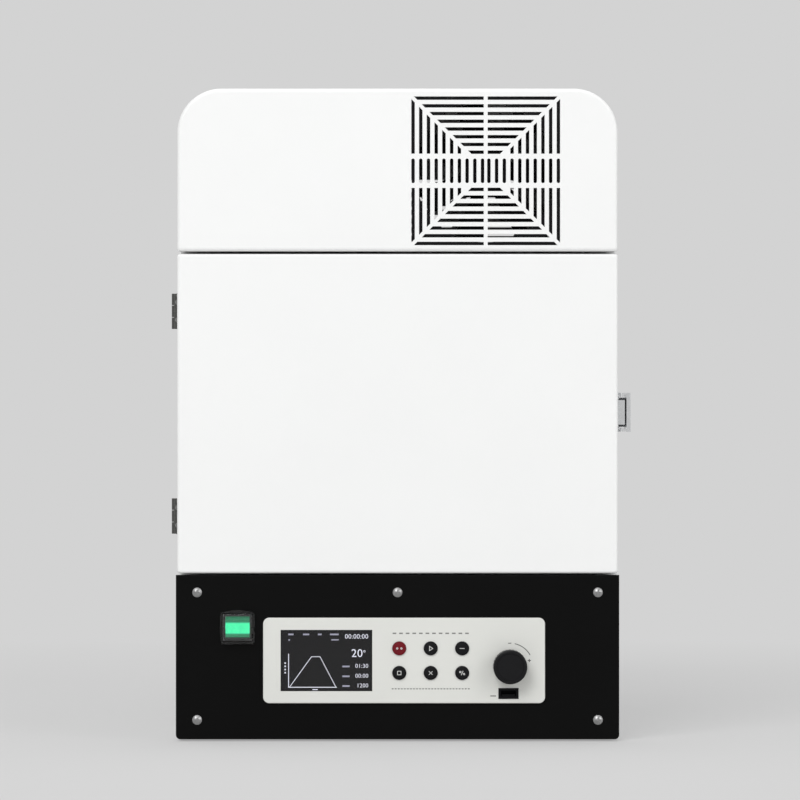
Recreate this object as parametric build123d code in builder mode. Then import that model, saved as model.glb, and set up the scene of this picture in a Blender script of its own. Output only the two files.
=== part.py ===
"""Bench-top microwave sintering furnace, built as separate pieces.

Millimetres. +X is to the right as the furnace is faced, +Y runs to the back and +Z up.
The origin lies on the table under the middle of the furnace.
"""

import os
from math import asin, degrees

from build123d import *

os.makedirs("parts", exist_ok=True)

# Overall size
body_w = 358.0  # hood, door and casing
total_h = 530.0
case_depth = 430.0  # front face to the outside of the rear panel
knob_reach = 18.0  # knob in front of the front face
rear_reach = 3.0  # mains inlet behind the rear panel
y_front = -(case_depth + rear_reach - knob_reach) / 2
y_rear = y_front + case_depth

# Casing sheet and forms
sheet = 1.5
corner_r = 36.0  # upper corners of hood, casing and rear panel
edge_r = 3.0  # soft front edge of hood and door
small_r = 2.4  # lower corners of the hood and corners of the door
wrap_bottom = 3.0
lip_w = 12.0  # flange inside the rear edge of the casing
seat_gap = 0.3  # small clearance between pieces that meet or move past each other

# Levels of the front
panel_bottom = 1.5
panel_top = 134.9
deck_top = 134.4
door_bottom = 136.2
door_top = 395.6
hood_bottom = 397.8

# Front panel
panel_w = 360.0
panel_t = 3.0
panel_r = 3.6
panel_bevel = 0.6
screw_x = 162.7
screw_z_high = 120.8
screw_z_low = 17.3

# Pan-head screws
screw_head_r = 3.9
screw_head_h = 2.4
screw_shank_r = 2.0
screw_shank = 8.0
recess_w = 1.0
recess_l = 4.2
recess_depth = 1.3

# Door and the plane behind it
door_t = 45.0
door_gap = 2.0
y_door_back = y_front + door_t
y_case = y_door_back + door_gap
door_core_play = 2.0
inner_plate_t = 1.5
gasket_w = 8.0
gasket_frame_w = 198.0
gasket_frame_h = 178.0

# Cavity and muffle
cavity_z = 266.0
chamber_w = 136.0
chamber_h = 116.0
chamber_d = 146.0
board_side = 40.0
board_floor = 40.0
board_back = 44.0
liner_t = 1.5
mouth_margin = 3.0
plug_play = 6.0  # plug edge to mouth edge, room for the swing of the door
plug_depth = 24.0
plug_taper = 4.0
susceptor_t = 6.0
susceptor_w = 100.0
susceptor_h = 90.0
hearth_w = 100.0
hearth_t = 8.0
feed_w = 50.0
feed_d = 30.0
guide_w = 120.0
guide_d = 90.0
guide_h = 45.0
guide_wall = 2.0
guide_x = -50.0
guide_y = -30.0
magnetron_w = 80.0
magnetron_d = 88.0
magnetron_h = 70.0
fin_count = 6
fin_t = 1.5
probe_x = 40.0
probe_y = -60.0
probe_r = 3.0
probe_in = 15.0
probe_head_r = 12.0
probe_head_h = 20.0
running = 0.05  # radial clearance of a turning fit

# Base
foot_h = 6.0
foot_r = 14.0
foot_x = 145.0
foot_y = 165.0
tray_t = 2.0
tray_flange = 25.0

# Parts in the base
core_w = 110.0
core_d = 80.0
core_h = 92.0
core_x = -95.0
core_y = 95.0
core_leg = 18.0
winding_out = 14.0
capacitor_w = 52.0
capacitor_d = 34.0
capacitor_h = 100.0
capacitor_x = 20.0
capacitor_y = 130.0
supply_w = 98.0
supply_d = 160.0
supply_h = 42.0
supply_x = 100.0
supply_y = 30.0

# Control bezel and what it holds
bezel_x = 5.3
bezel_z = 65.6
bezel_w = 228.8
bezel_h = 69.4
bezel_r = 5.0
bezel_t = 2.5
bezel_edge = 0.8
bezel_seat = 3.5
display_x = -57.7
display_w = 74.4
display_h = 49.8
display_play = 0.2
glass_t = 1.0
glass_sink = 0.2
module_w = 88.0
module_h = 54.0
board_gap = 12.0  # back of the bezel to the control board
board_t = 1.6
board_w = 208.0
board_h = 54.0
button_x = 1.4
button_z = 55.6
button_pitch_x = 25.5
button_pitch_z = 19.9
button_r = 5.5
button_play = 0.25
button_out = 1.6
button_dome = 0.5
button_flange_r = 6.6
button_flange_t = 1.0
button_stem_r = 2.0
button_travel = 0.8
tact_w = 6.0
knob_x = 91.2
knob_z = 61.0
knob_r = 13.7
knob_gap = 0.5
knob_flutes = 30
flute_r = 0.55
knob_wall = 2.4
knob_dish = 0.6
bushing_r = 3.5
bushing_out = 5.0
shaft_r = 3.0
encoder_w = 13.0
usb_x = 90.0
usb_z = 38.9
usb_w = 16.4
usb_h = 8.8
usb_out = 0.8
usb_in_w = 12.5
usb_in_h = 5.1
usb_in_depth = 10.0
usb_tongue = 1.8

# Power switch
switch_x = -129.9
switch_z = 92.6
switch_w = 22.5
switch_h = 20.2
switch_out = 2.0
switch_depth = 22.0
rocker_w = 19.4
rocker_r = 8.6
rocker_gap = 0.3
rocker_face = 5.2
rocker_dip = 1.4
rocker_back = 2.0
rocker_tilt = 10.0
rocker_pivot_in = 3.0
rocker_pin_r = 1.2
rocker_pin_l = 0.7
cover_w = 28.0
cover_h = 25.2
cover_arch = 2.5
cover_rim_t = 1.2
cover_out = 7.6
cover_wall = 1.0
cover_step = 2.0

# Fan and its grille
fan_x = 71.6
fan_z = 463.1
fan_w = 120.0
fan_t = 25.0
fan_corner_r = 5.0
fan_bore_r = 58.0
fan_hole_pitch = 105.0
fan_hole_r = 2.15
fan_hub_r = 20.0
fan_hub_t = 5.0
fan_pin_r = 2.0
fan_rotor_t = 16.0
fan_blade_r = 56.0
fan_blade_t = 1.6
fan_blades = 7
fan_pitch_root = 38.0
fan_pitch_tip = 22.0
slot_w = 2.8
slot_reach = 59.0
slot_pitch = 6.27
slot_rows = 8
slot_columns = 7
spoke_half = 1.6
diagonal_gap = 2.1
band_half = 13.9
band_slot_h = 20.0
band_slots = 10

# Hinges on the left side
hinge_h = 29.0
hinge_z_high = 349.9
hinge_z_low = 181.6
knuckle_r = 3.3
knuckle_off = 0.1
knuckle_gap = 0.4
hinge_pin_r = 1.5
leaf_l = 22.0
leaf_t = 1.6
leaf_back = 1.0
leaf_screw_r = 2.6
leaf_screw_h = 1.4

# Draw latch on the right side
latch_z = 266.9
latch_h = 32.0
latch_t = 1.5
latch_y = -150.0  # lever pivot
latch_u = 4.5  # lever pivot out from the side
latch_base_front = 8.0
latch_base_back = 40.0
ear_r = 3.0
lever_eye_r = 2.6
rivet_r = 1.5
loop_back = 12.0  # loop pivot behind the lever pivot
loop_u = 4.2
loop_eye_r = 2.0
loop_pin_r = 1.0
loop_neck = 22.0
loop_top = 11.3
loop_reach = 49.0
loop_lip = 3.3
plate_start = 20.0  # lever plate behind the lever pivot
plate_end = 46.0
lever_top = 11.5
keeper_w = 24.0
keeper_lip_h = 7.5
keeper_lip_gap = 1.5
keeper_l = 20.0
latch_screw_y = -120.0
latch_screw_pitch = 10.0
keeper_screw_back = 4.0  # behind the middle of the keeper
keeper_screw_pitch = 12.0

# Door interlock sensor
sensor_r = 5.0
sensor_x = 150.0
sensor_z = 378.0
sensor_l = 20.0
sensor_out = 0.4

# Mains inlet
inlet_x = -110.0
inlet_z = 62.0
inlet_flange_w = 50.0
inlet_flange_h = 23.0
inlet_body_w = 28.0
inlet_body_h = 20.5
inlet_depth = 26.0
socket_w = 24.4
socket_h = 16.4
socket_chamfer = 4.5
socket_depth = 16.0
pin_w = 2.0
pin_h = 4.0
pin_l = 14.0
pin_spread = 7.0
pin_low = -2.0
pin_high = 2.0
rear_screw_rows = 4
rear_screw_l = 5.0
rear_screw_low = 20.0
rear_screw_high = 470.0

# Rear louvres
louvre_w = 44.0
louvre_h = 3.2
louvre_pitch_z = 8.0
louvre_rows = 10
louvre_columns = 4
louvre_pitch_x = 56.0
louvre_z = 440.0
louvre_low_z = 130.0

case_half = body_w / 2
inner_half = case_half - sheet
y_lower = y_front + panel_t
y_lip = y_rear - 2 * sheet
rear_screw_x = inner_half - (lip_w - sheet) / 2
row_step = (rear_screw_high - rear_screw_low) / (rear_screw_rows - 1)
rear_screw_places = [
    (side * rear_screw_x, rear_screw_low + row * row_step)
    for row in range(rear_screw_rows)
    for side in (1, -1)
]
front_screw_places = [
    (-screw_x, screw_z_high),
    (0, screw_z_high),
    (screw_x, screw_z_high),
    (-screw_x, screw_z_low),
    (screw_x, screw_z_low),
]
liner_w = chamber_w + 2 * board_side
liner_h = chamber_h + 2 * board_floor
liner_d = chamber_d + board_back
y_mouth = y_case + sheet
y_liner_back = y_mouth + liner_d + liner_t
z_liner_top = cavity_z + liner_h / 2 + liner_t
y_bezel = y_front - bezel_t
y_board = y_front + board_gap


def facing(y):
    """Upright plane at depth y that looks to the front: local x is +X, local y is +Z."""
    return Plane.XZ.offset(-y)


def level(z):
    """Level plane at height z that looks up."""
    return Plane.XY.offset(z)


def write(part, name):
    """Label a finished piece and write it under its node's name."""
    part.label = name
    export_step(part, f"parts/{name}.step")


def dome(r, low, top):
    """Arc of a round cap, from its rim (r, low) up to the axis at (0, top)."""
    rise = top - low
    ball_r = (r * r + rise * rise) / (2 * rise)
    angle = degrees(asin(r / ball_r))
    CenterArc((0, top - ball_r), ball_r, 90 - angle, angle)


def pan_screw(cross):
    """Pan-head screw at the origin: head towards +Z, shank towards -Z."""
    with BuildPart() as screw:
        with BuildSketch(Plane.XZ):
            with BuildLine():
                Line((0, -screw_shank), (screw_shank_r, -screw_shank))
                Line((screw_shank_r, -screw_shank), (screw_shank_r, 0))
                Line((screw_shank_r, 0), (screw_head_r, 0))
                Line((screw_head_r, 0), (screw_head_r, screw_head_h / 3))
                dome(screw_head_r, screw_head_h / 3, screw_head_h)
                Line((0, screw_head_h), (0, -screw_shank))
            make_face()
        revolve(axis=Axis.Z)
        if cross:
            with BuildSketch(level(screw_head_h)):
                Rectangle(recess_l, recess_w)
                Rectangle(recess_w, recess_l)
            extrude(amount=-recess_depth, mode=Mode.SUBTRACT)
    return screw.part


def case_outline(bottom, inset):
    """Front outline of the casing, square below and round at its upper corners."""
    with BuildSketch() as outline:
        with BuildLine():
            half = case_half - inset
            top = total_h - inset
            r = corner_r - inset
            Line((-half, bottom), (half, bottom))
            Line((half, bottom), (half, top - r))
            CenterArc((half - r, top - r), r, 0, 90)
            Line((half - r, top), (-half + r, top))
            CenterArc((-half + r, top - r), r, 90, 90)
            Line((-half, top - r), (-half, bottom))
        make_face()
    return outline.sketch


# Base tray with turned-up flanges and vent slots
with BuildPart() as base_tray:
    with BuildSketch(level(foot_h)):
        with Locations((0, (y_lower + y_lip) / 2)):
            Rectangle(2 * inner_half, y_lip - y_lower)
    extrude(amount=tray_flange)
    offset(amount=-tray_t, openings=base_tray.faces().sort_by(Axis.Z)[-1:])
    with BuildSketch(level(foot_h)):
        with GridLocations(60, 14, 4, 5):
            SlotOverall(40, 4)
    extrude(amount=tray_t, mode=Mode.SUBTRACT)
    with BuildSketch(level(foot_h)):
        with GridLocations(2 * foot_x, 2 * foot_y, 2, 2):
            Circle(screw_shank_r)
    extrude(amount=tray_t, mode=Mode.SUBTRACT)
    with BuildSketch(facing(y_lower)):
        with Locations(*front_screw_places):
            Circle(screw_shank_r + running)
    extrude(amount=-tray_t, mode=Mode.SUBTRACT)
    with BuildSketch(facing(y_lip)):
        with Locations(*rear_screw_places):
            Circle(screw_shank_r + running)
    extrude(amount=tray_t, mode=Mode.SUBTRACT)
write(base_tray.part, "base_tray")

# Rubber feet, each with a stud pressed into the tray
with BuildPart() as rubber_feet:
    with BuildSketch(level(0)):
        with GridLocations(2 * foot_x, 2 * foot_y, 2, 2):
            Circle(foot_r)
    extrude(amount=foot_h, taper=4)
    with BuildSketch(level(foot_h)):
        with GridLocations(2 * foot_x, 2 * foot_y, 2, 2):
            Circle(screw_shank_r - running)
    extrude(amount=tray_t + 1)
write(rubber_feet.part, "rubber_feet")

# Casing: one sheet bent over both sides and the top, cut back where the door and hood stand
with BuildPart() as outer_wrap:
    with BuildSketch(facing(y_rear - sheet)):
        add(case_outline(wrap_bottom, 0))
    extrude(amount=y_rear - sheet - y_lower)
    with BuildSketch(facing(y_lip)):
        add(case_outline(wrap_bottom, sheet))
    extrude(amount=y_lip - y_lower, mode=Mode.SUBTRACT)
    with BuildSketch(facing(y_rear - sheet)):
        add(case_outline(wrap_bottom, lip_w))
        with Locations(*rear_screw_places):
            Circle(screw_shank_r + running)
    extrude(amount=sheet, mode=Mode.SUBTRACT)
    with BuildSketch(facing(y_case)):
        with Locations((0, deck_top + total_h / 2)):
            Rectangle(body_w + sheet, total_h)
    extrude(amount=door_t + door_gap, mode=Mode.SUBTRACT)
write(outer_wrap.part, "outer_wrap")

# Hood: the top front cover, pressed with a soft front edge, and its slotted fan grille
with BuildPart() as hood:
    with BuildSketch(facing(y_case)) as hood_face:
        add(case_outline(hood_bottom, 0))
        fillet(hood_face.vertices().group_by(Axis.Y)[0], radius=small_r)
    extrude(amount=y_case - y_front)
    fillet(hood.faces().sort_by(Axis.Y)[0].edges(), radius=edge_r)
    with BuildSketch(facing(y_case)):
        add(case_outline(hood_bottom + sheet, sheet))
    extrude(amount=y_case - y_front - sheet, mode=Mode.SUBTRACT)
    with BuildSketch(facing(y_front)):
        with Locations((fan_x, fan_z)):
            for row in range(slot_rows):
                near = slot_reach - row * slot_pitch - slot_w / 2
                far = near + slot_w
                for sx in (1, -1):
                    for sz in (1, -1):
                        Polygon(
                            (sx * spoke_half, sz * near),
                            (sx * (near - diagonal_gap), sz * near),
                            (sx * (far - diagonal_gap), sz * far),
                            (sx * spoke_half, sz * far),
                            align=None,
                        )
            for column in range(slot_columns):
                near = slot_reach - column * slot_pitch - slot_w / 2
                far = near + slot_w
                for sx in (1, -1):
                    for sz in (1, -1):
                        Polygon(
                            (sx * near, sz * band_half),
                            (sx * near, sz * (near - diagonal_gap)),
                            (sx * far, sz * (far - diagonal_gap)),
                            (sx * far, sz * band_half),
                            align=None,
                        )
    extrude(amount=-sheet, mode=Mode.SUBTRACT)
    band_places = [
        (fan_x + side * (slot_reach - slot * slot_pitch), fan_z)
        for slot in range(band_slots)
        for side in (1, -1)
    ]
    with BuildSketch(facing(y_front)):
        with Locations(*band_places):
            SlotOverall(band_slot_h, slot_w, rotation=90)
    extrude(amount=-sheet, mode=Mode.SUBTRACT)
write(hood.part, "hood")

# Face frame: sheet round the oven mouth, bent forwards into the ledge under the door
with BuildPart() as face_frame:
    with BuildSketch(facing(y_mouth)):
        with Locations((0, (deck_top + hood_bottom) / 2)):
            Rectangle(2 * inner_half, hood_bottom - deck_top)
    extrude(amount=sheet)
    with BuildSketch(level(deck_top)):
        with Locations((0, (y_lower + y_mouth) / 2)):
            Rectangle(2 * inner_half, y_mouth - y_lower)
    extrude(amount=-sheet)
    with BuildSketch(facing(y_mouth)):
        with Locations((0, cavity_z)):
            RectangleRounded(
                chamber_w + 2 * mouth_margin, chamber_h + 2 * mouth_margin, small_r
            )
        with Locations((sensor_x, sensor_z)):
            Circle(sensor_r + running)
    extrude(amount=sheet, mode=Mode.SUBTRACT)
write(face_frame.part, "face_frame")

# Stainless liner: a box open to the front, with the microwave feed and the probe hole on top
with BuildPart() as cavity_liner:
    with BuildSketch(facing(y_liner_back)):
        with Locations((0, cavity_z)):
            Rectangle(liner_w + 2 * liner_t, liner_h + 2 * liner_t)
    extrude(amount=y_liner_back - y_mouth)
    with BuildSketch(facing(y_mouth)):
        with Locations((0, cavity_z)):
            Rectangle(liner_w, liner_h)
    extrude(amount=-liner_d, mode=Mode.SUBTRACT)
    with BuildSketch(level(z_liner_top)):
        with Locations((guide_x, guide_y)):
            Rectangle(feed_w, feed_d)
        with Locations((probe_x, probe_y)):
            Circle(probe_r + seat_gap)
    extrude(amount=-liner_t, mode=Mode.SUBTRACT)
write(cavity_liner.part, "cavity_liner")

# Fibre boards of the muffle
z_floor = cavity_z - chamber_h / 2
z_roof = cavity_z + chamber_h / 2
with BuildPart() as muffle_floor:
    with BuildSketch(level(z_floor - board_floor)):
        with Locations((0, y_mouth + liner_d / 2)):
            Rectangle(liner_w, liner_d)
    extrude(amount=board_floor)
    chamfer(muffle_floor.faces().sort_by(Axis.Y)[0].edges().filter_by(Axis.X), length=1)
write(muffle_floor.part, "muffle_floor")

with BuildPart() as muffle_roof:
    with BuildSketch(level(z_roof)):
        with Locations((0, y_mouth + liner_d / 2)):
            Rectangle(liner_w, liner_d)
        with Locations((probe_x, probe_y)):
            Circle(probe_r + seat_gap, mode=Mode.SUBTRACT)
    extrude(amount=board_floor)
write(muffle_roof.part, "muffle_roof")

with BuildPart() as muffle_sides:
    with BuildSketch(level(z_floor)):
        with Locations((0, y_mouth + chamber_d / 2)):
            with GridLocations(chamber_w + board_side, 0, 2, 1):
                Rectangle(board_side, chamber_d)
    extrude(amount=chamber_h)
write(muffle_sides.part, "muffle_sides")

with BuildPart() as muffle_back:
    with BuildSketch(level(z_floor)):
        with Locations((0, y_mouth + chamber_d + board_back / 2)):
            Rectangle(liner_w, board_back)
    extrude(amount=chamber_h)
write(muffle_back.part, "muffle_back")

# Susceptor plates against the side boards
with BuildPart() as susceptor_plates:
    with BuildSketch(level(z_floor)):
        with Locations((0, y_mouth + chamber_d - susceptor_w / 2 - susceptor_t)):
            with GridLocations(chamber_w - susceptor_t, 0, 2, 1):
                Rectangle(susceptor_t, susceptor_w)
    extrude(amount=susceptor_h)
    chamfer(
        susceptor_plates.faces().group_by(Axis.Z)[-1].edges().filter_by(Axis.Y), length=1
    )
write(susceptor_plates.part, "susceptor_plates")

# Hearth tile on the floor board
with BuildPart() as hearth_tile:
    with BuildSketch(level(z_floor)):
        with Locations((0, y_mouth + chamber_d - hearth_w / 2 - susceptor_t)):
            RectangleRounded(hearth_w, hearth_w, edge_r)
    extrude(amount=hearth_t)
    chamfer(hearth_tile.faces().sort_by(Axis.Z)[-1].edges(), length=1)
write(hearth_tile.part, "hearth_tile")

# Thermocouple: connection head on the liner and a sheath through the roof board
with BuildPart() as thermocouple:
    with BuildSketch(level(z_liner_top)):
        with Locations((probe_x, probe_y)):
            Circle(probe_head_r)
    extrude(amount=probe_head_h)
    fillet(thermocouple.faces().sort_by(Axis.Z)[-1].edges(), radius=2)
    with BuildSketch(level(z_liner_top)):
        with Locations((probe_x, probe_y)):
            Circle(probe_r)
    extrude(amount=-(z_liner_top - z_roof + probe_in))
    fillet(thermocouple.faces().sort_by(Axis.Z)[0].edges(), radius=probe_r - 0.2)
write(thermocouple.part, "thermocouple")

# Waveguide: rectangular tube on the liner, open below to the feed and above to the magnetron
with BuildPart() as waveguide:
    with BuildSketch(level(z_liner_top)):
        with Locations((guide_x, guide_y)):
            Rectangle(guide_w, guide_d)
    extrude(amount=guide_h)
    with BuildSketch(level(z_liner_top + guide_wall)):
        with Locations((guide_x, guide_y)):
            Rectangle(guide_w - 2 * guide_wall, guide_d - 2 * guide_wall)
    extrude(amount=guide_h - 2 * guide_wall, mode=Mode.SUBTRACT)
    with BuildSketch(level(z_liner_top)):
        with Locations((guide_x, guide_y)):
            Rectangle(feed_w, feed_d)
    extrude(amount=guide_wall, mode=Mode.SUBTRACT)
write(waveguide.part, "waveguide")

# Magnetron: yoke, cooling fins and filter box
z_magnetron = z_liner_top + guide_h
with BuildPart() as magnetron:
    with BuildSketch(level(z_magnetron)):
        with Locations((guide_x, guide_y)):
            Rectangle(magnetron_w, magnetron_d)
    extrude(amount=fin_t * 2)
    with BuildSketch(level(z_magnetron + magnetron_h - fin_t * 2)):
        with Locations((guide_x, guide_y)):
            Rectangle(magnetron_w, magnetron_d)
    extrude(amount=fin_t * 2)
    with BuildSketch(level(z_magnetron)):
        with Locations((guide_x, guide_y)):
            Circle(magnetron_w * 0.22)
    extrude(amount=magnetron_h)
    with BuildSketch(level(z_magnetron)):
        with Locations((guide_x, guide_y)):
            with GridLocations(magnetron_w - fin_t * 2, 0, 2, 1):
                Rectangle(fin_t * 2, magnetron_d)
    extrude(amount=magnetron_h)
    fin_pitch = magnetron_h / (fin_count + 1)
    for fin in range(fin_count):
        with BuildSketch(level(z_magnetron + (fin + 1) * fin_pitch)):
            with Locations((guide_x, guide_y)):
                Rectangle(magnetron_w, magnetron_d * 0.8)
        extrude(amount=fin_t)
write(magnetron.part, "magnetron")

# Transformer: laminated core with two windows, and its windings
z_tray = foot_h + tray_t
with BuildPart() as transformer_core:
    with BuildSketch(facing(core_y + core_d / 2)):
        with Locations((core_x, z_tray + core_h / 2)):
            Rectangle(core_w, core_h)
            with GridLocations(core_w / 2 - core_leg / 2, 0, 2, 1):
                Rectangle(
                    core_w / 2 - 1.5 * core_leg, core_h - 2 * core_leg, mode=Mode.SUBTRACT
                )
    extrude(amount=core_d)
write(transformer_core.part, "transformer_core")

with BuildPart() as transformer_windings:
    with BuildSketch(level(z_tray + core_leg + seat_gap)):
        with Locations((core_x, core_y)):
            RectangleRounded(core_w - 2 * core_leg - 2 * seat_gap, core_d + 2 * winding_out, winding_out)
            Rectangle(core_leg + 2 * seat_gap, core_d + 2 * seat_gap, mode=Mode.SUBTRACT)
    extrude(amount=core_h - 2 * core_leg - 2 * seat_gap)
write(transformer_windings.part, "transformer_windings")

# Oval high-voltage capacitor with its two terminals
with BuildPart() as hv_capacitor:
    with BuildSketch(level(z_tray)):
        with Locations((capacitor_x, capacitor_y)):
            SlotOverall(capacitor_w, capacitor_d)
    extrude(amount=capacitor_h)
    with BuildSketch(level(z_tray + capacitor_h)):
        with Locations((capacitor_x, capacitor_y)):
            with GridLocations(20, 0, 2, 1):
                Circle(4)
    extrude(amount=6)
write(hv_capacitor.part, "hv_capacitor")

# Power supply in its folded case
with BuildPart() as power_supply:
    with BuildSketch(level(z_tray)):
        with Locations((supply_x, supply_y)):
            Rectangle(supply_w, supply_d)
    extrude(amount=supply_h)
    with BuildSketch(level(z_tray + supply_h)):
        with Locations((supply_x, supply_y)):
            with GridLocations(12, 18, 6, 6):
                SlotOverall(8, 3)
    extrude(amount=-sheet, mode=Mode.SUBTRACT)
write(power_supply.part, "power_supply")

# Front panel with the openings for the bezel's parts and the power switch
panel_mid = (panel_bottom + panel_top) / 2
with BuildPart() as front_panel:
    with BuildSketch(facing(y_lower)) as panel_face:
        with Locations((0, panel_mid)):
            Rectangle(panel_w, panel_top - panel_bottom)
        fillet(panel_face.vertices().group_by(Axis.Y)[0], radius=panel_r)
    extrude(amount=panel_t)
    chamfer(front_panel.faces().sort_by(Axis.Y)[0].edges(), length=panel_bevel)
    with BuildSketch(facing(y_lower)):
        with Locations((bezel_x, bezel_z)):
            RectangleRounded(bezel_w - 2 * bezel_seat, bezel_h - 2 * bezel_seat, bezel_r)
        with Locations((switch_x, switch_z)):
            Rectangle(switch_w + 2 * display_play, switch_h + 2 * display_play)
        with Locations(*front_screw_places):
            Circle(screw_shank_r + running)
    extrude(amount=panel_t, mode=Mode.SUBTRACT)
write(front_panel.part, "front_panel")

with BuildPart(facing(y_front)) as front_panel_screws:
    with Locations(*front_screw_places):
        add(pan_screw(True))
write(front_panel_screws.part, "front_panel_screws")

# Control bezel
button_places = [
    (button_x + column * button_pitch_x, button_z + row * button_pitch_z)
    for row in (1, 0)
    for column in (0, 1, 2)
]
with BuildPart() as control_bezel:
    with BuildSketch(facing(y_front)):
        with Locations((bezel_x, bezel_z)):
            RectangleRounded(bezel_w, bezel_h, bezel_r)
    extrude(amount=bezel_t)
    fillet(control_bezel.faces().sort_by(Axis.Y)[0].edges(), radius=bezel_edge)
    with BuildSketch(facing(y_front)):
        with Locations((display_x, bezel_z)):
            Rectangle(display_w, display_h)
        with Locations(*button_places):
            Circle(button_r + button_play)
        with Locations((knob_x, knob_z)):
            Circle(bushing_r + display_play)
        with Locations((usb_x, usb_z)):
            Rectangle(usb_w, usb_h)
    extrude(amount=bezel_t, mode=Mode.SUBTRACT)
write(control_bezel.part, "control_bezel")

# Display: module behind the bezel, its screen in the window, and the glass
y_glass_back = y_bezel + glass_sink + glass_t
with BuildPart() as display_module:
    with BuildSketch(facing(y_board)):
        with Locations((display_x, bezel_z)):
            Rectangle(module_w, module_h)
    extrude(amount=board_gap)
    with BuildSketch(facing(y_front)):
        with Locations((display_x, bezel_z)):
            Rectangle(display_w - 2 * display_play, display_h - 2 * display_play)
    extrude(amount=y_front - y_glass_back)
write(display_module.part, "display_module")

with BuildPart() as display_glass:
    with BuildSketch(facing(y_glass_back)):
        with Locations((display_x, bezel_z)):
            Rectangle(display_w - 2 * display_play, display_h - 2 * display_play)
    extrude(amount=glass_t)
    chamfer(display_glass.faces().sort_by(Axis.Y)[0].edges(), length=0.2)
write(display_glass.part, "display_glass")

# Control board with a switch block behind each button
y_flange = y_front + seat_gap
y_stem_end = y_board - 3.5
with BuildPart() as control_board:
    with BuildSketch(facing(y_board + board_t)):
        with Locations((bezel_x, bezel_z)):
            Rectangle(board_w, board_h)
    extrude(amount=board_t)
    with BuildSketch(facing(y_board)):
        with Locations(*button_places):
            Rectangle(tact_w, tact_w)
    extrude(amount=y_board - y_stem_end - button_travel - seat_gap)
write(control_board.part, "control_board")


def round_button():
    """Push button at the origin, its cap towards +Z; the bezel's back face is z = 0."""
    cap_top = bezel_t + button_out
    with BuildPart() as button:
        with BuildSketch(Plane.XZ):
            with BuildLine():
                Line((0, -(y_stem_end - y_front)), (button_stem_r, -(y_stem_end - y_front)))
                Line(
                    (button_stem_r, -(y_stem_end - y_front)),
                    (button_stem_r, -seat_gap - button_flange_t),
                )
                Line(
                    (button_stem_r, -seat_gap - button_flange_t),
                    (button_flange_r, -seat_gap - button_flange_t),
                )
                Line((button_flange_r, -seat_gap - button_flange_t), (button_flange_r, -seat_gap))
                Line((button_flange_r, -seat_gap), (button_r, -seat_gap))
                Line((button_r, -seat_gap), (button_r, cap_top - button_dome))
                dome(button_r, cap_top - button_dome, cap_top)
                Line((0, cap_top), (0, -(y_stem_end - y_front)))
            make_face()
        revolve(axis=Axis.Z)
    return button.part


# Six push buttons, three in each row
button_names = [
    "button_start",
    "button_program",
    "button_preset",
    "button_stop",
    "button_clear",
    "button_step",
]
button_cap = round_button()
for button_name, button_place in zip(button_names, button_places):
    with BuildPart(facing(y_front)) as push_button:
        with Locations(button_place):
            add(button_cap)
    write(push_button.part, button_name)

# Rotary encoder: body on the board, threaded bushing through the bezel
knob_plane = Plane(origin=(knob_x, y_bezel, knob_z), x_dir=(1, 0, 0), z_dir=(0, -1, 0))
knob_depth = knob_reach - bezel_t - knob_gap
shaft_in = bezel_t + 6.0
with BuildPart(knob_plane) as encoder_body:
    with BuildSketch(knob_plane.offset(-bezel_t)):
        RectangleRounded(encoder_w, encoder_w, 1)
    extrude(amount=-board_gap)
    with BuildSketch(knob_plane.offset(-bezel_t)):
        Circle(bushing_r)
    extrude(amount=bezel_t + bushing_out)
    with BuildSketch(knob_plane.offset(bushing_out)):
        Circle(shaft_r + running)
    extrude(amount=-(bushing_out + shaft_in + seat_gap), mode=Mode.SUBTRACT)
write(encoder_body.part, "encoder_body")

shaft_top = knob_gap + knob_depth - knob_wall
with BuildPart() as encoder_shaft:
    with BuildSketch(knob_plane.offset(-shaft_in)):
        Circle(shaft_r)
    extrude(amount=shaft_in + shaft_top - running)
    chamfer(encoder_shaft.faces().sort_by(Axis.Y)[0].edges(), length=0.4)
write(encoder_shaft.part, "encoder_shaft")

# Knob: fluted cap, hollow behind, with a boss on the shaft
with BuildPart() as knob:
    with BuildSketch(knob_plane.offset(knob_gap)):
        Circle(knob_r)
    extrude(amount=knob_depth)
    fillet(knob.faces().sort_by(Axis.Y)[0].edges(), radius=1.2)
    with BuildSketch(knob_plane.offset(knob_gap + knob_depth)):
        Circle(knob_r - 2.6)
    extrude(amount=-knob_dish, taper=30, mode=Mode.SUBTRACT)
    with BuildSketch(knob_plane.offset(knob_gap)):
        with PolarLocations(knob_r + flute_r * 0.4, knob_flutes):
            Circle(flute_r)
    extrude(amount=knob_depth - 1.6, mode=Mode.SUBTRACT)
    with BuildSketch(knob_plane.offset(knob_gap)):
        Circle(knob_r - knob_wall)
        Circle(shaft_r + 2.5, mode=Mode.SUBTRACT)
    extrude(amount=knob_depth - knob_wall - knob_dish, mode=Mode.SUBTRACT)
    with BuildSketch(knob_plane.offset(knob_gap)):
        Circle(shaft_r + running)
    extrude(amount=knob_depth - knob_wall, mode=Mode.SUBTRACT)
    with BuildSketch(knob_plane.offset(knob_gap)):
        Circle(bushing_r + seat_gap)
    extrude(amount=bushing_out, mode=Mode.SUBTRACT)
write(knob.part, "knob")

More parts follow.
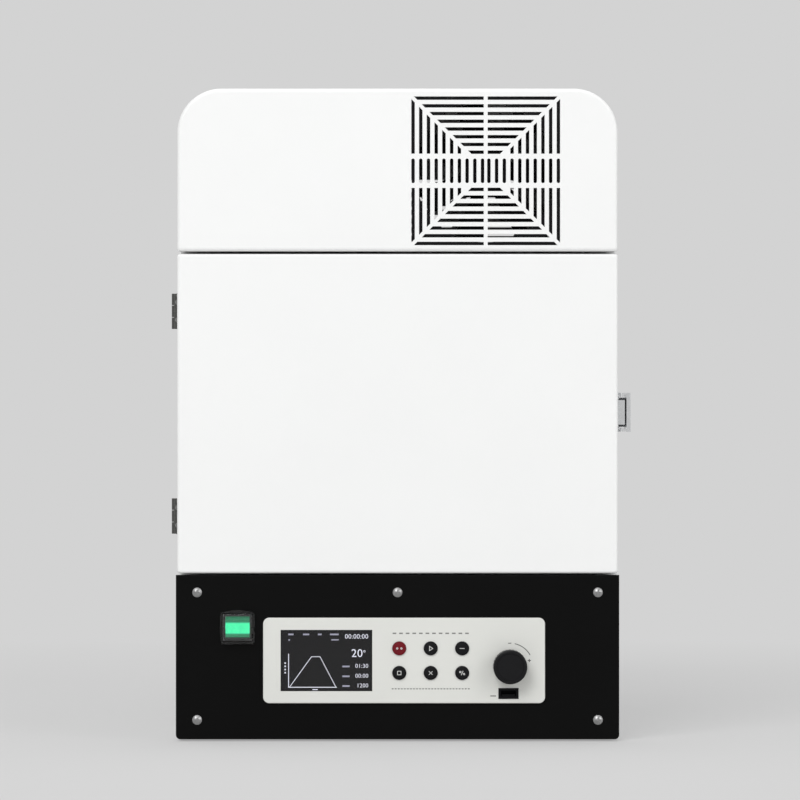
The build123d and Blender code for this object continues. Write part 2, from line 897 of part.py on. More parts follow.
# USB socket: surround in the bezel, cavity and contact tongue
with BuildPart() as usb_port:
    with BuildSketch(facing(y_bezel)):
        with Locations((usb_x, usb_z)):
            Rectangle(usb_w, usb_h)
    extrude(amount=usb_out)
    chamfer(usb_port.faces().sort_by(Axis.Y)[0].edges(), length=0.4)
    with BuildSketch(facing(y_bezel)):
        with Locations((usb_x, usb_z)):
            Rectangle(usb_w - 2 * display_play, usb_h - 2 * display_play)
    extrude(amount=-(board_gap + bezel_t))
    with BuildSketch(facing(y_bezel - usb_out)):
        with Locations((usb_x, usb_z)):
            Rectangle(usb_in_w, usb_in_h)
    extrude(amount=-usb_in_depth, mode=Mode.SUBTRACT)
    with BuildSketch(facing(y_bezel - usb_out + usb_in_depth)):
        with Locations((usb_x, usb_z - usb_in_h / 2 + usb_tongue)):
            Rectangle(usb_in_w - 1.5, usb_tongue, align=(Align.CENTER, Align.MAX))
    extrude(amount=usb_in_depth - 1)
write(usb_port.part, "usb_port")

# Power switch: housing through the panel, with bearing holes for the rocker's pins
y_pivot = y_front + rocker_pivot_in
pocket_h = 2 * (rocker_r + rocker_gap)
pocket_w = rocker_w + 2 * rocker_gap
with BuildPart() as switch_housing:
    with BuildSketch(facing(y_front - switch_out)):
        with Locations((switch_x, switch_z)):
            RectangleRounded(switch_w, switch_h, 1)
    extrude(amount=-(switch_out + switch_depth))
    with BuildSketch(facing(y_front - switch_out)):
        with Locations((switch_x, switch_z)):
            Rectangle(pocket_w, pocket_h)
    extrude(amount=-(switch_out + rocker_pivot_in + rocker_back + 2), mode=Mode.SUBTRACT)
    with BuildSketch(Plane.YZ.offset(switch_x)):
        with Locations((y_pivot, switch_z)):
            Circle(rocker_pin_r + running)
    extrude(amount=rocker_w / 2 + rocker_pin_l + running, both=True, mode=Mode.SUBTRACT)
    with BuildSketch(facing(y_front + switch_depth)):
        with Locations((switch_x, switch_z)):
            with GridLocations(10, 0, 2, 1):
                Rectangle(0.8, 6.3)
    extrude(amount=-8)
write(switch_housing.part, "switch_housing")

# Rocker: a drum with a dipped face and two pins, resting in its ON position
with BuildPart() as rocker:
    with BuildSketch(Plane.YZ.offset(switch_x)):
        Circle(rocker_r)
        with BuildLine():
            Polyline(
                (-rocker_face, -rocker_r),
                (rocker_dip - rocker_face, 0),
                (-rocker_face, rocker_r),
                (rocker_back, rocker_r),
                (rocker_back, -rocker_r),
                close=True,
            )
        make_face(mode=Mode.INTERSECT)
    extrude(amount=rocker_w / 2, both=True)
    with BuildSketch(Plane.YZ.offset(switch_x)):
        Circle(rocker_pin_r)
    extrude(amount=rocker_w / 2 + rocker_pin_l - running, both=True)
rocker_part = rocker.part.rotate(Axis((switch_x, 0, 0), (1, 0, 0)), rocker_tilt)
rocker_part = rocker_part.moved(Location((0, y_pivot, switch_z)))
write(rocker_part, "rocker")

# Clear cover over the switch: rim on the panel and a raised cap with an arched top
with BuildPart() as switch_cover:
    with BuildSketch(facing(y_front)) as cover_rim:
        with BuildLine():
            low = switch_z - cover_h / 2 - cover_arch / 2
            shoulder = switch_z + cover_h / 2 - cover_arch / 2
            Line((switch_x - cover_w / 2, shoulder), (switch_x - cover_w / 2, low))
            Line((switch_x - cover_w / 2, low), (switch_x + cover_w / 2, low))
            Line((switch_x + cover_w / 2, low), (switch_x + cover_w / 2, shoulder))
            ThreePointArc(
                (switch_x + cover_w / 2, shoulder),
                (switch_x, shoulder + cover_arch),
                (switch_x - cover_w / 2, shoulder),
            )
        make_face()
        fillet(cover_rim.vertices(), radius=2.5)
    extrude(amount=cover_rim_t)
    cap_w = switch_w + 2 * (seat_gap + cover_wall)
    cap_h = switch_h + 2 * (seat_gap + cover_wall)
    with BuildSketch(facing(y_front)):
        with Locations((switch_x, switch_z)):
            RectangleRounded(cap_w, cap_h, cover_step)
    extrude(amount=cover_out)
    fillet(switch_cover.faces().sort_by(Axis.Y)[0].edges(), radius=1.2)
    with BuildSketch(facing(y_front)):
        with Locations((switch_x, switch_z)):
            Rectangle(switch_w + 2 * seat_gap, switch_h + 2 * seat_gap)
    extrude(amount=cover_out - cover_wall, mode=Mode.SUBTRACT)
write(switch_cover.part, "switch_cover")

# Fan: frame with struts to its hub, and a seven-blade rotor on the hub's pin
y_fan = y_front + sheet
fan_plane = Plane(origin=(fan_x, y_fan, fan_z), x_dir=(1, 0, 0), z_dir=(0, -1, 0))
with BuildPart() as fan_frame:
    with BuildSketch(fan_plane.offset(-fan_t)):
        RectangleRounded(fan_w, fan_w, fan_corner_r)
        Circle(fan_bore_r, mode=Mode.SUBTRACT)
        with GridLocations(fan_hole_pitch, fan_hole_pitch, 2, 2):
            Circle(fan_hole_r, mode=Mode.SUBTRACT)
    extrude(amount=fan_t)
    with BuildSketch(fan_plane.offset(-fan_t)):
        Circle(fan_hub_r)
        with PolarLocations(fan_bore_r / 2, 4, 45):
            Rectangle(fan_bore_r + 2, 4)
    extrude(amount=fan_hub_t)
    with BuildSketch(fan_plane.offset(-fan_t + fan_hub_t)):
        Circle(fan_pin_r)
    extrude(amount=fan_rotor_t - 2)
write(fan_frame.part, "fan_frame")

rotor_base = -fan_t + fan_hub_t + seat_gap
hub_top = rotor_base + fan_rotor_t
with BuildPart() as fan_blade:
    with BuildSketch(Plane.YZ.offset(fan_hub_r - 2)):
        with Locations((0, rotor_base + fan_rotor_t / 2)):
            Rectangle(fan_rotor_t * 1.15, fan_blade_t, rotation=90 - fan_pitch_root)
    with BuildSketch(Plane.YZ.offset(fan_blade_r)):
        with Locations((0, rotor_base + fan_rotor_t / 2)):
            Rectangle(fan_rotor_t * 1.75, fan_blade_t, rotation=90 - fan_pitch_root - fan_pitch_tip)
    loft()
with BuildPart(fan_plane) as fan_rotor:
    with BuildSketch(fan_plane.offset(rotor_base)):
        Circle(fan_hub_r)
    extrude(amount=fan_rotor_t)
    fillet(fan_rotor.faces().sort_by(Axis.Y)[0].edges(), radius=2)
    with PolarLocations(0, fan_blades):
        add(fan_blade.part)
    with BuildSketch(fan_plane.offset(rotor_base)):
        Circle(fan_pin_r + running)
    extrude(amount=fan_rotor_t - 2 + running, mode=Mode.SUBTRACT)
write(fan_rotor.part, "fan_rotor")

# Door: pressed shell, insulation core, inner plate, gasket and the fibre plug
door_z = (door_bottom + door_top) / 2
door_h = door_top - door_bottom
with BuildPart() as door_shell:
    with BuildSketch(facing(y_door_back)):
        with Locations((0, door_z)):
            RectangleRounded(body_w, door_h, small_r)
    extrude(amount=door_t)
    fillet(door_shell.faces().sort_by(Axis.Y)[0].edges(), radius=edge_r - sheet / 2)
    with BuildSketch(facing(y_door_back)):
        with Locations((0, door_z)):
            Rectangle(body_w - 2 * sheet, door_h - 2 * sheet)
    extrude(amount=door_t - sheet, mode=Mode.SUBTRACT)
write(door_shell.part, "door_shell")

with BuildPart() as door_inner_plate:
    with BuildSketch(facing(y_door_back)):
        with Locations((0, door_z)):
            Rectangle(body_w - 2 * sheet, door_h - 2 * sheet)
    extrude(amount=inner_plate_t)
write(door_inner_plate.part, "door_inner_plate")

with BuildPart() as door_core:
    with BuildSketch(facing(y_door_back - inner_plate_t)):
        with Locations((0, door_z)):
            Rectangle(
                body_w - 2 * sheet - 2 * door_core_play, door_h - 2 * sheet - 2 * door_core_play
            )
    extrude(amount=door_t - inner_plate_t - sheet)
write(door_core.part, "door_core")

with BuildPart() as door_gasket:
    with BuildSketch(facing(y_door_back)):
        with Locations((0, cavity_z)):
            RectangleRounded(gasket_frame_w, gasket_frame_h, gasket_w)
            RectangleRounded(
                gasket_frame_w - 2 * gasket_w,
                gasket_frame_h - 2 * gasket_w,
                gasket_w / 2,
                mode=Mode.SUBTRACT,
            )
    extrude(amount=-(door_gap - seat_gap))
write(door_gasket.part, "door_gasket")

with BuildPart() as door_plug:
    plug_w = chamber_w + 2 * mouth_margin - 2 * plug_play
    plug_h = chamber_h + 2 * mouth_margin - 2 * plug_play
    with BuildSketch(facing(y_door_back)):
        with Locations((0, cavity_z)):
            RectangleRounded(plug_w, plug_h, edge_r)
    with BuildSketch(facing(y_door_back + plug_depth)):
        with Locations((0, cavity_z)):
            RectangleRounded(plug_w - plug_taper, plug_h - plug_taper, edge_r)
    loft()
write(door_plug.part, "door_plug")

# Interlock sensor, flush in the face frame
with BuildPart() as interlock_sensor:
    with BuildSketch(facing(y_case - sensor_out)):
        with Locations((sensor_x, sensor_z)):
            Circle(sensor_r)
    extrude(amount=-sensor_l)
    with BuildSketch(facing(y_mouth)):
        with Locations((sensor_x, sensor_z)):
            RegularPolygon(sensor_r + 2.5, 6)
    extrude(amount=-3)
write(interlock_sensor.part, "interlock_sensor")

# Hinges: knuckles on an axis outside the left side, in line with the gap behind the door
hinge_x = -case_half - knuckle_r - knuckle_off
hinge_y = y_door_back + door_gap / 2
knuckle_h = (hinge_h - 2 * knuckle_gap) / 3
knuckle_step = knuckle_h + knuckle_gap
hinge_heights = (hinge_z_low, hinge_z_high)


def hinge_leaf(direction, knuckle_offsets, other_offsets, bore_r):
    """Leaf of one hinge about z = 0: -1 lies on the door, +1 on the casing."""
    leaf_start = hinge_y + direction * (door_gap / 2 + leaf_back)
    leaf_end = leaf_start + direction * leaf_l
    with BuildPart() as leaf:
        with BuildSketch(level(-hinge_h / 2)):
            with BuildLine():
                Polyline(
                    (-case_half, leaf_start),
                    (-case_half, leaf_end),
                    (-case_half - leaf_t, leaf_end),
                    (-case_half - leaf_t, leaf_start),
                    close=True,
                )
            make_face()
        extrude(amount=hinge_h)
        fillet(
            leaf.edges().filter_by(Axis.X).group_by(Axis.Y)[0 if direction < 0 else -1],
            radius=edge_r,
        )
        for other_z in other_offsets:
            with BuildSketch(level(other_z - knuckle_h / 2 - knuckle_gap)):
                with Locations((hinge_x, hinge_y)):
                    Circle(knuckle_r + seat_gap)
            extrude(amount=knuckle_h + 2 * knuckle_gap, mode=Mode.SUBTRACT)
        for knuckle_z in knuckle_offsets:
            with BuildSketch(level(knuckle_z - knuckle_h / 2)):
                with Locations((hinge_x, hinge_y)):
                    Circle(knuckle_r)
                with BuildLine():
                    Polyline(
                        (-case_half - knuckle_off, leaf_start),
                        (-case_half - leaf_t, leaf_start),
                        (hinge_x, hinge_y + direction * knuckle_r),
                        (hinge_x, hinge_y),
                        (-case_half - knuckle_off, hinge_y),
                        close=True,
                    )
                make_face()
                with Locations((hinge_x, hinge_y)):
                    Circle(bore_r, mode=Mode.SUBTRACT)
            extrude(amount=knuckle_h)
        with BuildSketch(Plane.YZ.offset(-case_half - leaf_t)):
            with Locations(((leaf_start + leaf_end) / 2, 0)):
                with GridLocations(0, hinge_h / 2, 1, 2):
                    Circle(screw_shank_r + running)
        extrude(amount=leaf_t, mode=Mode.SUBTRACT)
    return leaf.part


outer_knuckles = (-knuckle_step, knuckle_step)
middle_knuckle = (0,)
case_leaf = hinge_leaf(1, outer_knuckles, middle_knuckle, hinge_pin_r)
door_leaf = hinge_leaf(-1, middle_knuckle, outer_knuckles, hinge_pin_r + running)
with BuildPart() as hinge_leaves_case:
    with Locations(*[(0, 0, height) for height in hinge_heights]):
        add(case_leaf)
write(hinge_leaves_case.part, "hinge_leaves_case")

with BuildPart() as hinge_leaves_door:
    with Locations(*[(0, 0, height) for height in hinge_heights]):
        add(door_leaf)
write(hinge_leaves_door.part, "hinge_leaves_door")

with BuildPart() as hinge_pins:
    with Locations(*[(hinge_x, hinge_y, height) for height in hinge_heights]):
        Cylinder(hinge_pin_r, hinge_h)
write(hinge_pins.part, "hinge_pins")

# Draw latch: base with two ears, lever, strap with a hooked end, and the keeper on the door
loop_y = latch_y + loop_back
ear_z = latch_h / 2 - latch_t - seat_gap
latch_low = latch_z - latch_h / 2


def from_side(u):
    """x of a point that stands u out from the right side."""
    return case_half + u


with BuildPart() as latch_base:
    with BuildSketch(Plane.YZ.offset(case_half)):
        with Locations(((2 * latch_y + latch_base_back - latch_base_front) / 2, latch_z)):
            RectangleRounded(latch_base_back + latch_base_front, latch_h, 2)
        with Locations((latch_screw_y, latch_z)):
            with GridLocations(latch_screw_pitch, 0, 2, 1):
                Circle(screw_shank_r + running, mode=Mode.SUBTRACT)
    extrude(amount=latch_t)
    for side in (1, -1):
        with BuildSketch(level(latch_z + side * ear_z)):
            with Locations((from_side(latch_u), latch_y)):
                Circle(ear_r)
            with Locations((from_side(latch_t / 2), latch_y)):
                Rectangle(latch_t, 4 * ear_r)
            with BuildLine():
                Polyline(
                    (from_side(latch_t / 2), latch_y - 2 * ear_r),
                    (from_side(latch_u), latch_y - ear_r),
                    (from_side(latch_u), latch_y + ear_r),
                    (from_side(latch_t / 2), latch_y + 2 * ear_r),
                    close=True,
                )
            make_face()
        extrude(amount=-side * latch_t)
        with BuildSketch(level(latch_z + side * ear_z)):
            with Locations((from_side(latch_u), latch_y)):
                Circle(rivet_r)
        extrude(amount=side * (latch_t + seat_gap))
write(latch_base.part, "latch_base")

with BuildPart() as latch_lever:
    for side in (1, -1):
        with BuildSketch(level(latch_z + side * latch_h / 2)):
            with Locations((from_side(latch_u), latch_y)):
                Circle(lever_eye_r)
            with BuildLine():
                Polyline(
                    (from_side(latch_u), latch_y + lever_eye_r),
                    (from_side(latch_u) - lever_eye_r, latch_y),
                    (from_side(latch_t + seat_gap), loop_y + loop_eye_r),
                    (from_side(latch_t + 2 * seat_gap), latch_y + plate_end - 8),
                    (from_side(lever_top), latch_y + plate_end),
                    (from_side(lever_top), latch_y + plate_start),
                    (from_side(latch_u + lever_eye_r), latch_y),
                    close=True,
                )
            make_face()
            with Locations((from_side(latch_u), latch_y)):
                Circle(rivet_r + running, mode=Mode.SUBTRACT)
        extrude(amount=-side * latch_t)
    with BuildSketch(level(latch_low)):
        with BuildLine():
            Polyline(
                (from_side(lever_top), latch_y + plate_start),
                (from_side(lever_top - latch_t), latch_y + plate_start),
                (from_side(lever_top - latch_t), latch_y + plate_end),
                (from_side(lever_top), latch_y + plate_end),
                close=True,
            )
        make_face()
    extrude(amount=latch_h)
    with BuildSketch(level(latch_low)):
        with Locations((from_side(loop_u), loop_y)):
            Circle(loop_pin_r)
    extrude(amount=latch_h)
write(latch_lever.part, "latch_lever")

strap_front = loop_y - loop_reach
with BuildPart() as latch_loop:
    with BuildSketch(level(latch_low)):
        with BuildLine():
            Polyline(
                (from_side(loop_u), loop_y),
                (from_side(loop_top - latch_t / 2), loop_y - loop_neck),
                (from_side(loop_top - latch_t / 2), strap_front + latch_t / 2),
                (from_side(loop_top - loop_lip), strap_front + latch_t / 2),
            )
        trace(line_width=latch_t)
        with Locations((from_side(loop_u), loop_y)):
            Circle(loop_eye_r)
            Circle(loop_pin_r + running, mode=Mode.SUBTRACT)
    extrude(amount=latch_h)
    neck_w = 2 * (ear_z - latch_t - 2 * seat_gap)
    with BuildSketch(Plane.YZ.offset(case_half)):
        with Locations((loop_y - loop_neck, latch_z)):
            with GridLocations(0, latch_h + neck_w, 1, 2):
                Rectangle(
                    loop_reach, latch_h, align=(Align.MIN, Align.CENTER)
                )
    extrude(amount=loop_top + latch_t, mode=Mode.SUBTRACT)
write(latch_loop.part, "latch_loop")

keeper_front = strap_front + latch_t + keeper_lip_gap
keeper_screw_y = keeper_front + keeper_l / 2 + keeper_screw_back
with BuildPart() as latch_keeper:
    with BuildSketch(Plane.YZ.offset(case_half)):
        with Locations((keeper_front + keeper_l / 2, latch_z)):
            RectangleRounded(keeper_l, keeper_w, 2)
        with Locations((keeper_screw_y, latch_z)):
            with GridLocations(0, keeper_screw_pitch, 1, 2):
                Circle(screw_shank_r + running, mode=Mode.SUBTRACT)
    extrude(amount=latch_t)
    with BuildSketch(level(latch_z - keeper_w / 2 + 2)):
        with BuildLine():
            Polyline(
                (from_side(latch_t / 2), keeper_front + latch_t / 2),
                (from_side(keeper_lip_h - latch_t / 2), keeper_front + latch_t / 2),
            )
        trace(line_width=latch_t)
    extrude(amount=keeper_w - 4)
write(latch_keeper.part, "latch_keeper")


def low_screw(head_r, length):
    """Low round-head screw at the origin, head towards +Z."""
    with BuildPart() as screw:
        with BuildSketch(Plane.XZ):
            with BuildLine():
                Line((0, -length), (screw_shank_r, -length))
                Line((screw_shank_r, -length), (screw_shank_r, 0))
                Line((screw_shank_r, 0), (head_r, 0))
                dome(head_r, 0, leaf_screw_h)
                Line((0, leaf_screw_h), (0, -length))
            make_face()
        revolve(axis=Axis.Z)
    return screw.part


left_plane = Plane(origin=(-case_half - leaf_t, 0, 0), x_dir=(0, -1, 0), z_dir=(-1, 0, 0))
right_plane = Plane(origin=(case_half + latch_t, 0, 0), x_dir=(0, 1, 0), z_dir=(1, 0, 0))
leaf_mid = door_gap / 2 + leaf_back + leaf_l / 2


def leaf_screw_places(y):
    """Screw places of both hinges' leaves, in the left plane."""
    return [(-y, height + half * hinge_h / 4) for height in hinge_heights for half in (1, -1)]


# Screws of the casing's hinge leaves and of the latch base
with BuildPart() as side_screws_case:
    with Locations(left_plane):
        with Locations(*leaf_screw_places(hinge_y + leaf_mid)):
            add(low_screw(leaf_screw_r, leaf_t))
    with Locations(right_plane):
        with Locations((latch_screw_y, latch_z)):
            with GridLocations(latch_screw_pitch, 0, 2, 1):
                add(low_screw(leaf_screw_r, latch_t))
write(side_screws_case.part, "side_screws_case")

# Screws of the door's hinge leaves and of the keeper
with BuildPart() as side_screws_door:
    with Locations(left_plane):
        with Locations(*leaf_screw_places(hinge_y - leaf_mid)):
            add(low_screw(leaf_screw_r, leaf_t))
    with Locations(right_plane):
        with Locations((keeper_screw_y, latch_z)):
            with GridLocations(0, keeper_screw_pitch, 1, 2):
                add(low_screw(leaf_screw_r, latch_t))
write(side_screws_door.part, "side_screws_door")

# Rear panel with louvres and the inlet's opening
with BuildPart() as rear_panel:
    with BuildSketch(facing(y_rear)):
        add(case_outline(wrap_bottom, 0))
    extrude(amount=sheet)
    with BuildSketch(facing(y_rear)):
        with Locations((0, louvre_z), (0, louvre_low_z)):
            with GridLocations(louvre_pitch_x, louvre_pitch_z, louvre_columns, louvre_rows):
                SlotOverall(louvre_w, louvre_h)
        with Locations((inlet_x, inlet_z)):
            Rectangle(inlet_body_w + 2 * display_play, inlet_body_h + 2 * display_play)
        with Locations(*rear_screw_places):
            Circle(screw_shank_r + running)
    extrude(amount=sheet, mode=Mode.SUBTRACT)
write(rear_panel.part, "rear_panel")

rear_plane = Plane(origin=(0, y_rear, 0), x_dir=(-1, 0, 0), z_dir=(0, 1, 0))
with BuildPart(rear_plane) as rear_screws:
    with Locations(*rear_screw_places):
        add(low_screw(screw_head_r, rear_screw_l))
write(rear_screws.part, "rear_screws")

# Mains inlet: flange outside, body through the panel, shaped socket and three pins
inlet_plane = Plane(origin=(inlet_x, y_rear, inlet_z), x_dir=(-1, 0, 0), z_dir=(0, 1, 0))
with BuildPart() as inlet_housing:
    with BuildSketch(inlet_plane):
        RectangleRounded(inlet_flange_w, inlet_flange_h, 3)
    extrude(amount=rear_reach)
    with BuildSketch(inlet_plane):
        Rectangle(inlet_body_w, inlet_body_h)
    extrude(amount=-(inlet_depth - rear_reach))
    with BuildSketch(inlet_plane.offset(rear_reach)) as socket:
        Rectangle(socket_w, socket_h)
        chamfer(socket.vertices().group_by(Axis.Y)[-1], length=socket_chamfer)
    extrude(amount=-socket_depth, mode=Mode.SUBTRACT)
write(inlet_housing.part, "inlet_housing")

with BuildPart() as inlet_pins:
    with BuildSketch(inlet_plane.offset(rear_reach - socket_depth)):
        with Locations((-pin_spread, pin_low), (pin_spread, pin_low), (0, pin_high)):
            Rectangle(pin_w, pin_h)
    extrude(amount=pin_l)
write(inlet_pins.part, "inlet_pins")
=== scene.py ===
"""Looks of a bench-top microwave sintering furnace, made round its construction.

Metres, in the construction's own frame: +X is to the right as the furnace is faced,
+Y runs to the back and +Z up.
"""

from math import cos, pi, radians, sin

import bmesh
import bpy
from bpy.props import FloatProperty, FloatVectorProperty, PointerProperty
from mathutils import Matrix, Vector


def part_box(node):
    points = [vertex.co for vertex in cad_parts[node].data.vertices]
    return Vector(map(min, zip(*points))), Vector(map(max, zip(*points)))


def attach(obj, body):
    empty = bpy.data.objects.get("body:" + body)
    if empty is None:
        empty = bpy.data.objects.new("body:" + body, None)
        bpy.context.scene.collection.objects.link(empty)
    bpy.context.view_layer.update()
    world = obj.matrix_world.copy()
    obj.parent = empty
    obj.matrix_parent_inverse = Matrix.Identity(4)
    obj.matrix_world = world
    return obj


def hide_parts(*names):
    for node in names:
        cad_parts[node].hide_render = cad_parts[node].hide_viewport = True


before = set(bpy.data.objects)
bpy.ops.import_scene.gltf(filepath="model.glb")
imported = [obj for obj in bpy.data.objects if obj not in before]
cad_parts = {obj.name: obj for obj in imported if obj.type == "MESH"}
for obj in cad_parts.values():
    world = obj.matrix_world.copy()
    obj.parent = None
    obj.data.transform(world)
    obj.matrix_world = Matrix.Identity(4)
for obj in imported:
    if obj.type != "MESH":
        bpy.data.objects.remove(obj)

bl_info = {
    "name": "Sintering furnace",
    "version": (1, 0, 0),
    "blender": (4, 5, 0),
    "location": "3D View > Sidebar > Furnace",
    "description": "Finishes, display, printing and studio of a microwave sintering furnace",
    "category": "Object",
}


def colour(label, words, default):
    """Colour property that a user can change."""
    return FloatVectorProperty(
        name=label, description=words, subtype="COLOR", size=3, min=0.0, max=1.0, default=default
    )


def length(label, words, default):
    """Length property in metres."""
    return FloatProperty(name=label, description=words, unit="LENGTH", default=default)


def number(label, words, default):
    """Plain number property."""
    return FloatProperty(name=label, description=words, default=default)


class FurnaceColours(bpy.types.PropertyGroup):
    """Colours of the furnace's finishes."""

    casing: colour("Casing", "Powder coat of hood, door and casing", (0.88, 0.885, 0.88))
    casing_edge: colour("Casing edge", "Powder coat where edges are rubbed", (0.8, 0.8, 0.79))
    panel: colour("Front panel", "Black powder coat of the front panel", (0.0025, 0.0025, 0.0025))
    # Brighter panel edge colour: a painted highlight along the panel's rounded edges.
    panel_edge_highlight: colour("Panel edge", "Rubbed edges of the front panel", (0.02, 0.02, 0.02))
    zinc: colour("Zinc", "Galvanised sheet of the base", (0.52, 0.55, 0.57))
    stainless: colour("Stainless", "Brushed sheet of liner and door plate", (0.6, 0.6, 0.59))
    # Hinge colour is dark steel, made this dark partly as painted shade.
    hinge_steel_and_shade: colour("Hinge steel", "Dark steel of the hinges", (0.13, 0.13, 0.125))
    latch_steel: colour("Latch steel", "Bright steel of the latch", (0.78, 0.79, 0.8))
    screw_steel: colour("Screw steel", "Plated steel of the screws", (0.42, 0.42, 0.42))
    fibre: colour("Fibre board", "Ceramic fibre of muffle and plug", (0.86, 0.84, 0.79))
    scorched: colour("Scorched fibre", "Fibre board browned by heat", (0.62, 0.52, 0.4))
    carbide: colour("Carbide", "Silicon carbide of the susceptors", (0.035, 0.037, 0.042))
    alumina: colour("Alumina", "Ceramic of hearth and probe", (0.87, 0.84, 0.76))
    aluminium: colour("Aluminium", "Waveguide, magnetron and capacitor", (0.66, 0.67, 0.68))
    laminate: colour("Core steel", "Stacked sheets of the transformer", (0.09, 0.09, 0.1))
    enamel: colour("Wire enamel", "Windings of the transformer", (0.42, 0.13, 0.04))
    bezel: colour("Bezel", "Off-white moulding round the controls", (0.74, 0.745, 0.71))
    black_plastic: colour("Black plastic", "Knob, keys and mouldings", (0.004, 0.004, 0.005))
    start_key: colour("Start key", "Red key", (0.16, 0.0015, 0.008))
    board: colour("Circuit board", "Solder mask", (0.012, 0.12, 0.05))
    copper_track: colour("Board track", "Tracks under the mask", (0.03, 0.25, 0.1))
    rubber: colour("Rubber", "Feet", (0.02, 0.02, 0.021))
    gasket: colour("Gasket", "Woven glass tape", (0.6, 0.59, 0.55))
    # Gasket shade colour is painted shade in the gaps between the threads.
    gasket_shade: colour("Gasket shade", "Gaps between the threads", (0.3, 0.29, 0.26))
    contact: colour("Contacts", "Plated brass of pins and shaft", (0.72, 0.66, 0.5))
    screen: colour("Screen", "Unlit display", (0.0015, 0.0012, 0.003))
    figures: colour("Figures", "Lit figures of the display", (0.85, 0.86, 0.95))
    faint_figures: colour("Faint figures", "Small lit labels of the display", (0.36, 0.36, 0.45))
    ink: colour("Ink", "Dark print on the bezel", (0.03, 0.03, 0.03))
    grey_ink: colour("Grey ink", "Thin print on the bezel", (0.2, 0.2, 0.19))
    key_ink: colour("Key ink", "White print on the keys", (0.75, 0.76, 0.74))
    lamp_bright: colour("Lamp", "Middle of the lit rocker", (0.05, 1.0, 0.45))
    # The darker upper and lower bands of the rocker's glow are painted shade.
    lamp_deep_and_shade: colour("Lamp edge", "Upper and lower band of the lit rocker", (0.0, 0.13, 0.055))


class FurnaceSizes(bpy.types.PropertyGroup):
    """Sizes of the printed and lit marks."""

    print_lift: length("Print lift", "How far print stands on its surface", 0.00004)
    arc_radius: length("Arc radius", "Printed arc round the knob", 0.0187)
    arc_width: length("Arc width", "Stroke of the printed arc", 0.0006)
    sign_size: length("Sign size", "Width of the minus and plus signs", 0.0026)
    key_stroke: length("Key stroke", "Stroke of the key symbols", 0.00045)
    key_symbol: length("Key symbol", "Size of the key symbols", 0.0036)
    screen_stroke: length("Screen stroke", "Lines of the display's graph", 0.0005)
    big_digits: length("Big digits", "Height of the large figures", 0.0066)
    row_digits: length("Row digits", "Height of the figures in rows", 0.0033)
    status_digits: length("Status digits", "Height of the figures at the top", 0.0038)


class FurnaceStudio(bpy.types.PropertyGroup):
    """Camera, lamps and backdrop."""

    backdrop: colour("Backdrop", "Floor and background", (0.651, 0.651, 0.651))
    floor_radius: length("Floor radius", "Of the round floor", 14.0)
    camera_distance: length("Camera distance", "From the front face", 3.5)
    camera_height: length("Camera height", "Above the floor", 0.277)
    camera_shift: length("Camera side shift", "To the right of the middle", 0.002)
    lens: number("Lens", "Focal length in millimetres", 194.0)
    key_power: number("Key lamp", "Large lamp in front, above", 80.0)
    fill_power: number("Fill lamp", "Lamp at the right", 27.0)
    top_power: number("Top lamp", "Lamp overhead", 22.0)
    ambient: number("Ambient", "Soft light from all round", 0.48)


def node(tree, kind, inputs=None, **settings):
    """Add a shader node, with its settings and the values of its named inputs."""
    made = tree.nodes.new(kind)
    for key, value in settings.items():
        setattr(made, key, value)
    for key, value in (inputs or {}).items():
        made.inputs[key].default_value = value
    return made


def new_group(name, inputs, outputs):
    """Empty node group with named sockets. Returns its tree, its input node and its output node."""
    tree = bpy.data.node_groups.new(name, "ShaderNodeTree")
    for socket, kind in inputs:
        tree.interface.new_socket(name=socket, in_out="INPUT", socket_type="NodeSocket" + kind)
    for socket, kind in outputs:
        tree.interface.new_socket(name=socket, in_out="OUTPUT", socket_type="NodeSocket" + kind)
    return tree, node(tree, "NodeGroupInput"), node(tree, "NodeGroupOutput")


def spread(tree, given, noise, result):
    """Spread a noise between a group's Low and High."""
    made = node(tree, "ShaderNodeMapRange", {"From Min": 0.3, "From Max": 0.7})
    tree.links.new(noise.outputs["Fac"], made.inputs["Value"])
    tree.links.new(given.outputs["Low"], made.inputs["To Min"])
    tree.links.new(given.outputs["High"], made.inputs["To Max"])
    tree.links.new(made.outputs["Result"], result.inputs["Value"])


def tone_group():
    """Soft uneven patches, as a value between Low and High."""
    tree, given, result = new_group(
        "tone_field",
        [("Vector", "Vector"), ("Scale", "Float"), ("Low", "Float"), ("High", "Float")],
        [("Value", "Float")],
    )
    noise = node(tree, "ShaderNodeTexNoise", {"Detail": 4.0, "Roughness": 0.6})
    tree.links.new(given.outputs["Vector"], noise.inputs["Vector"])
    tree.links.new(given.outputs["Scale"], noise.inputs["Scale"])
    spread(tree, given, noise, result)
    return tree


def grain_group():
    """Fine grain of a coat or a moulding, as a normal."""
    tree, given, result = new_group(
        "fine_grain",
        [("Vector", "Vector"), ("Scale", "Float"), ("Height", "Float")],
        [("Normal", "Vector")],
    )
    noise = node(tree, "ShaderNodeTexNoise", {"Detail": 2.0, "Roughness": 0.5})
    bump = node(tree, "ShaderNodeBump", {"Strength": 1.0})
    tree.links.new(given.outputs["Vector"], noise.inputs["Vector"])
    tree.links.new(given.outputs["Scale"], noise.inputs["Scale"])
    tree.links.new(given.outputs["Height"], bump.inputs["Distance"])
    tree.links.new(noise.outputs["Fac"], bump.inputs["Height"])
    tree.links.new(bump.outputs["Normal"], result.inputs["Normal"])
    return tree


